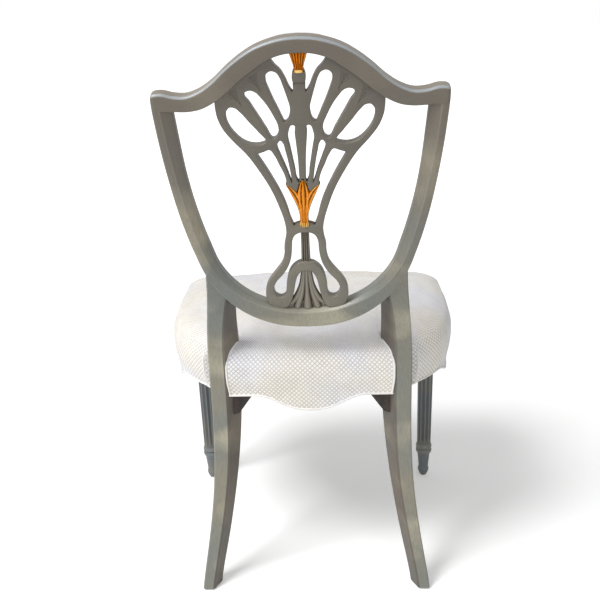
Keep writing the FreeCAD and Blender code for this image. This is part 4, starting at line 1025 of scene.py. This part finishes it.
@dataclass
class Seat:
    """Padded seat in its woven cover, with welts, and the cloth stretched under it."""

    finishes: Finishes
    middle: float = -205.0
    post_inner: tuple[float, float] = (143.6, 118.6)
    post_back: float = -5.6
    post_front: float = -45.0
    edge_level: float = 374.0
    drop: float = 30.0
    skirt_top: float = 440.0
    spans: dict[str, float] = field(default_factory=lambda: {"back": 98.0, "side": 98.0, "front": 150.0})
    bounds: dict[str, float] = field(default_factory=lambda: {"back": -30.0, "side": 190.0, "front": -372.0})
    side_middle: float = -192.0
    fold_width: float = 148.0
    wall_lean: float = 8.0
    fold_reach: float = -50.0
    panel_points: int = 34
    wall_points: int = 12
    folded_points: int = 6
    least_share: float = 0.93
    share_steps: int = 56
    skirt_rings: int = 26
    hem: tuple[tuple[float, float], ...] = ((9.6, 3.0), (5.0, 0.6))
    hem_top: float = 443.0
    crown_blend: tuple[float, float] = (446.0, 16.0)
    post_welt_top: int = 40
    side_welt_column: int = 3

    def outline(self) -> np.ndarray:
        """Half plan beyond the post, from beside the post to the middle of the front."""
        side = smooth_run(SEAT_SIDE, 8)
        corner = smooth_run(SEAT_CORNER, 8)
        bow = smooth_run(SEAT_BOW, 14)
        return np.vstack([side[:-1], corner[:-1], bow])

    def ring(self, share: np.ndarray) -> np.ndarray:
        """Half plans of the seat at many shares of its full plan.

        Every point shrinks towards the middle of the seat by the share; the part behind the post's front
        face is folded onto the post's room.

        Args:
            share: One share for each ring.

        Returns:
            Rings by points by two, from the middle of the back to the middle of the front.
        """
        share = share[:, None]
        back = self.middle + (SEAT_SIDE[0][1] - self.middle) * share
        inside = np.clip((back - self.post_front) / (self.post_back - self.post_front), 0, 1)
        post = np.minimum(self.post_inner[1], self.fold_width * share)
        inner = post - self.wall_lean * share * (1 - inside) + (self.post_inner[0] - self.post_inner[1]) * inside
        part = np.linspace(0, 1, self.panel_points)[None, :]
        panel = np.stack([inner * part, np.broadcast_to(back, (len(share), self.panel_points))], axis=-1)
        part = np.linspace(0, 1, self.wall_points)[None, 1:]
        wall_end = np.minimum(back, self.post_front)
        wall = np.stack([inner + (post - inner) * part, back + (wall_end - back) * part], axis=-1)
        plan = self.outline()
        placed = np.stack([plan[None, :, 0] * share, self.middle + (plan[None, :, 1] - self.middle) * share], axis=-1)
        beyond = placed[:, self.folded_points:]
        beyond[..., 1] = np.minimum(beyond[..., 1], np.maximum(self.post_front, wall_end))
        beyond[..., 0] = np.maximum(beyond[..., 0], np.where(beyond[..., 1] > self.fold_reach, post, -np.inf))
        return np.concatenate([panel, wall, beyond], axis=1)

    def edge(self, plan: np.ndarray) -> np.ndarray:
        """Level of the lower edge: flat by the legs, with a full cosine swell down at the middle of each side.

        The cosine runs on the distance from the side's middle, as a share of its span, to the power 1.25.

        Args:
            plan: Points across and along, in the last axis.

        Returns:
            The level of each, in millimetres.
        """
        across, along = np.abs(plan[..., 0]), plan[..., 1]
        back = np.where(along > self.bounds["back"], np.clip(across / self.spans["back"], 0, 1), 1)
        front = np.where(along < self.bounds["front"], np.clip(across / self.spans["front"], 0, 1), 1)
        side = np.where(across > self.bounds["side"],
                        np.clip(np.abs(along - self.side_middle) / self.spans["side"], 0, 1), 1)
        swell = np.minimum(np.minimum(back, front), side) ** 1.25
        return self.edge_level - self.drop / 2 * (1 + np.cos(math.pi * swell))

    def share_at(self, level: np.ndarray) -> np.ndarray:
        """Share of the full plan at a level of the skirt."""
        profile = smooth_run(np.asarray(SEAT_PROFILE)[:, ::-1][:5], 8)
        return np.interp(level, profile[:, 0], profile[:, 1])

    def cushion_grid(self) -> tuple[np.ndarray, np.ndarray]:
        """Seat form: rings up the skirt from its swelled lower edge, then over the crown.

        Returns:
            The half grid in millimetres, from the inside of the skirt over the top, and the share that is top.
        """
        full = self.ring(np.array([1.0]))[0]
        low = self.edge(full)
        part = np.linspace(0, 1, self.skirt_rings)[:, None]
        level = low[None, :] + (self.skirt_top - low[None, :]) * part
        shares = self.share_at(level)
        table = self.ring(np.linspace(self.least_share, 1.0, self.share_steps + 1))
        column = np.arange(full.shape[0])[None, :]
        place = ((np.clip(shares, self.least_share, 1.0) - self.least_share) / (1.0 - self.least_share)
                 * self.share_steps)
        lower = np.floor(place).astype(int).clip(0, self.share_steps - 1)
        mix = (place - lower)[..., None]
        skirt = table[lower, column] * (1 - mix) + table[lower + 1, column] * mix
        skirt = np.concatenate([skirt, level[..., None]], axis=-1)
        crown = smooth_run(np.asarray(SEAT_PROFILE)[3:], 7)[1:]
        over = self.ring(np.clip(crown[:, 0], 0.02, 1))
        over = np.concatenate([over, np.broadcast_to(crown[:, 1][:, None, None], over.shape[:2] + (1,))], axis=-1)
        centre = np.array([0.0, self.middle])
        inward = centre - skirt[:1, :, :2]
        inward /= np.linalg.norm(inward, axis=-1, keepdims=True)
        hem = []
        for reach, lift in self.hem:
            fold = skirt[:1].copy()
            fold[..., :2] += inward * reach
            fold[..., 2] += lift
            hem.append(fold)
        inside = hem[0].copy()
        inside[..., 2] = self.hem_top
        form = np.concatenate([inside, *hem, skirt, over])
        start, length = self.crown_blend
        top = np.concatenate([np.zeros(self.rim_ring() + self.skirt_rings),
                              np.clip((crown[:, 1] - start) / length, 0, 1)])
        return form, np.broadcast_to(top[:, None], form.shape[:2])

    def rim_ring(self) -> int:
        """Number of the ring on the lower edge: the turned-in rings come before it."""
        return len(self.hem) + 1

    def ease(self, form: np.ndarray) -> np.ndarray:
        """Loose cloth: long low ripples along the skirt and soft dips over the crown, as sums of sines."""
        across, along, level = form[..., 0], form[..., 1], form[..., 2]
        ripple = (0.8 * np.sin(across / 23 + along / 31) * np.sin(level / 17 + across / 41)
                  + 0.5 * np.sin(across / 11 - along / 15 + 1.3) * np.sin(level / 29))
        dip = 0.9 * np.sin(across / 38 + 0.6) * np.sin(along / 33 + 0.2) + 0.4 * np.sin(across / 17 + along / 21)
        share = np.clip((level - 440) / 25, 0, 1)
        moved = form.copy()
        centre = np.stack([across, along - self.middle], axis=-1)
        centre /= np.linalg.norm(centre, axis=-1, keepdims=True) + 1e-9
        shown = (np.arange(len(form)) > 3)[:, None] * (1 - share)
        moved[..., :2] += centre * (ripple * shown * 0.7)[..., None]
        moved[..., 2] += dip * share - 0.4 * share
        return moved

    def cushion(self) -> None:
        """The padded form in its cover."""
        form, top = self.cushion_grid()
        form = self.ease(form)
        whole = whole_ring(form)
        tops = np.concatenate([top, top[:, ::-1][:, 1:-1]], axis=1)
        front = form.shape[1] - 1
        whole, tops = np.roll(whole, -front, axis=1), np.roll(tops, -front, axis=1)
        grid = in_place(whole)
        last_skirt = self.rim_ring() + self.skirt_rings - 1
        piece = surface("seat_cushion", grid, 0.5, plan=grid[..., :2], zero_ring=last_skirt)
        piece.data.attributes.new("top", "FLOAT", "POINT").data.foreach_set(
            "value", tops.astype(np.float32).ravel())
        dress(piece, self.finishes.cloth, Slot.SEAT_FABRIC, "seat_cover", "seat_stuffing")

    def welts(self) -> None:
        """Piped edges: along the lower edge all round, and up the panel beside each post."""
        form, _ = self.cushion_grid()
        rim = self.rim_ring()
        half = form[rim].copy()
        half[:, 2] += 1.2
        dress(tube("edge_welt", in_place(whole_ring(half)), 2.0 * MM, closed=True), self.finishes.welting,
              Slot.SEAT_FABRIC)
        post_column = self.panel_points - 1
        side_column = post_column + self.wall_points + self.side_welt_column
        rows = {"post": form[rim:self.post_welt_top, post_column] - [1.0, 0, 0],
                "side": form[rim:rim + self.skirt_rings - 1, side_column] + [0, 0.6, 0]}
        for side, sign in SIDES:
            for place, column in rows.items():
                dress(tube(f"{place}_welt_{side}", in_place(column * [sign, 1, 1]), 1.7 * MM), self.finishes.welting,
                      Slot.SEAT_FABRIC)

    def dust_cover(self) -> None:
        """Cloth tacked under the rails: the seat's plan set in, flat but for a slight sag in the middle."""
        shares = np.concatenate([np.linspace(0.915, 0.1, 14), [0.02]])
        plan = self.ring(shares)
        plan[..., 1] = np.minimum(plan[..., 1], -26.0)
        plan = whole_ring(plan)
        sag = 376.0 - 2.6 * (1 - (shares / shares[0]) ** 2)[:, None]
        grid = np.concatenate([plan, np.broadcast_to(sag[..., None], plan.shape[:2] + (1,))], axis=-1)
        piece = surface("under_cover", in_place(grid), capped=False)
        dress(piece, self.finishes.under_cloth, Slot.DUST_CLOTH, "dust_cover")

    def build(self) -> None:
        """Builds the seat's soft pieces and dresses the frame inside it."""
        self.cushion()
        self.welts()
        self.dust_cover()
        rails = ["seat_rail_" + place for place in ("left", "right", "front", "rear")]
        blocks = [f"corner_block_{end}_{side}" for end in ("front", "rear") for side, _ in SIDES]
        inside = {Slot.FRAME_WOOD: (self.finishes.rail_wood, [*rails, *blocks, "shield_dowels"]),
                  Slot.DARK_WOOD: (self.finishes.bracket_wood, ["rear_bracket_left", "rear_bracket_right"]),
                  Slot.WEBBING: (self.finishes.straps, ["seat_webbing"]),
                  Slot.STEEL: (self.finishes.steel, ["corner_block_screws", "foot_glides"])}
        for slot, (material, nodes) in inside.items():
            for node in nodes:
                dress(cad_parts[node], material, slot)


@dataclass
class Studio:
    """Camera, floor, world and lamps."""

    place: tuple[float, float, float] = (-0.03822907, 1.42527, 1.054023)
    right: tuple[float, float, float] = (-0.99888609, -0.03266001, -0.03405736)
    upward: tuple[float, float, float] = (-0.01990531, -0.36274555, 0.93167561)
    backward: tuple[float, float, float] = (-0.04278269, 0.93131573, 0.36169138)
    lens: float = 50.965
    shift: tuple[float, float] = (0.0084, -0.0002)
    lamps: tuple[tuple[str, tuple[float, float, float], float, float], ...] = (
        ("key", (1.45, 1.1, 3.0), 98.0, 1.2), ("fill", (-0.6, 3.0, 1.9), 20.0, 2.0))

    def camera(self) -> None:
        """Camera at the photograph's viewing angle."""
        data = bpy.data.cameras.new("camera")
        data.lens = self.lens
        data.sensor_width = 36.0
        data.shift_x, data.shift_y = self.shift
        camera = bpy.data.objects.new("camera", data)
        turn = Matrix((self.right, self.upward, self.backward)).transposed().to_4x4()
        camera.matrix_world = Matrix.Translation(Vector(self.place)) @ turn
        bpy.context.scene.collection.objects.link(camera)
        bpy.context.scene.camera = camera

    def floor(self) -> None:
        """White floor that keeps the chair's shadow."""
        mesh = bpy.data.meshes.new("floor")
        half = 14.0
        mesh.from_pydata([(-half, -half, 0), (half, -half, 0), (half, half, 0), (-half, half, 0)], [], [(0, 1, 2, 3)])
        floor = bpy.data.objects.new("floor", mesh)
        bpy.context.scene.collection.objects.link(floor)
        board = Board("floor_white")
        seen = board.add("ShaderNodeLightPath").outputs["Is Camera Ray"]
        away = board.add("ShaderNodeVectorMath", {"operation": "LENGTH"}, i0=board.place()).outputs["Value"]
        glow = board.sum("MULTIPLY", seen, board.between(away, 0.9, 3.0, 0.2, 0.8))
        mesh.materials.append(board.coat(Base_Color=(0.92, 0.92, 0.92, 1), Roughness=0.95,
                                         Emission_Color=(1, 1, 1, 1), Emission_Strength=glow))
        floor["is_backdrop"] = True

    def lights(self) -> None:
        """Plain white world and soft lamps: a large one from the left, a weaker one behind the camera."""
        world = bpy.data.worlds.new("studio")
        world.use_nodes = True
        bpy.context.scene.world = world
        nodes, links = world.node_tree.nodes, world.node_tree.links
        path = nodes.new("ShaderNodeLightPath")
        shown = nodes.new("ShaderNodeMath")
        shown.operation = "MAXIMUM"
        links.new(path.outputs["Is Camera Ray"], shown.inputs[0])
        links.new(path.outputs["Is Glossy Ray"], shown.inputs[1])
        strength = nodes.new("ShaderNodeMapRange")
        strength.inputs["To Min"].default_value = 0.42
        strength.inputs["To Max"].default_value = 1.0
        links.new(shown.outputs["Value"], strength.inputs["Value"])
        background = nodes["Background"]
        background.inputs["Color"].default_value = (1, 1, 1, 1)
        links.new(strength.outputs["Result"], background.inputs["Strength"])
        for name, place, power, size in self.lamps:
            data = bpy.data.lights.new(name, "AREA")
            data.energy, data.size = power, size
            lamp = bpy.data.objects.new(name, data)
            lamp.location = place
            lamp.rotation_mode = "QUATERNION"
            lamp.rotation_quaternion = (Vector(place) - Vector((0, 0, 0.45))).to_track_quat("Z", "Y")
            bpy.context.scene.collection.objects.link(lamp)
        bpy.context.scene.view_settings.view_transform = "Standard"

    def build(self) -> None:
        """Sets up the whole studio."""
        self.camera()
        self.floor()
        self.lights()


def corners() -> list[list[float]]:
    """Lowest and highest corner of what shows, as plain lists."""
    return [list(corner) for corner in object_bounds()]


def main() -> None:
    """Dresses the chair."""
    logging.basicConfig(level=logging.INFO, format="%(message)s")
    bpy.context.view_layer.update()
    finishes = Finishes()
    for assembly in (ShieldFrame(finishes), Splat(finishes), Legs(finishes), Seat(finishes), Studio()):
        assembly.build()
        LOG.info("%s done", type(assembly).__name__)


if __name__ == "__main__":
    main()
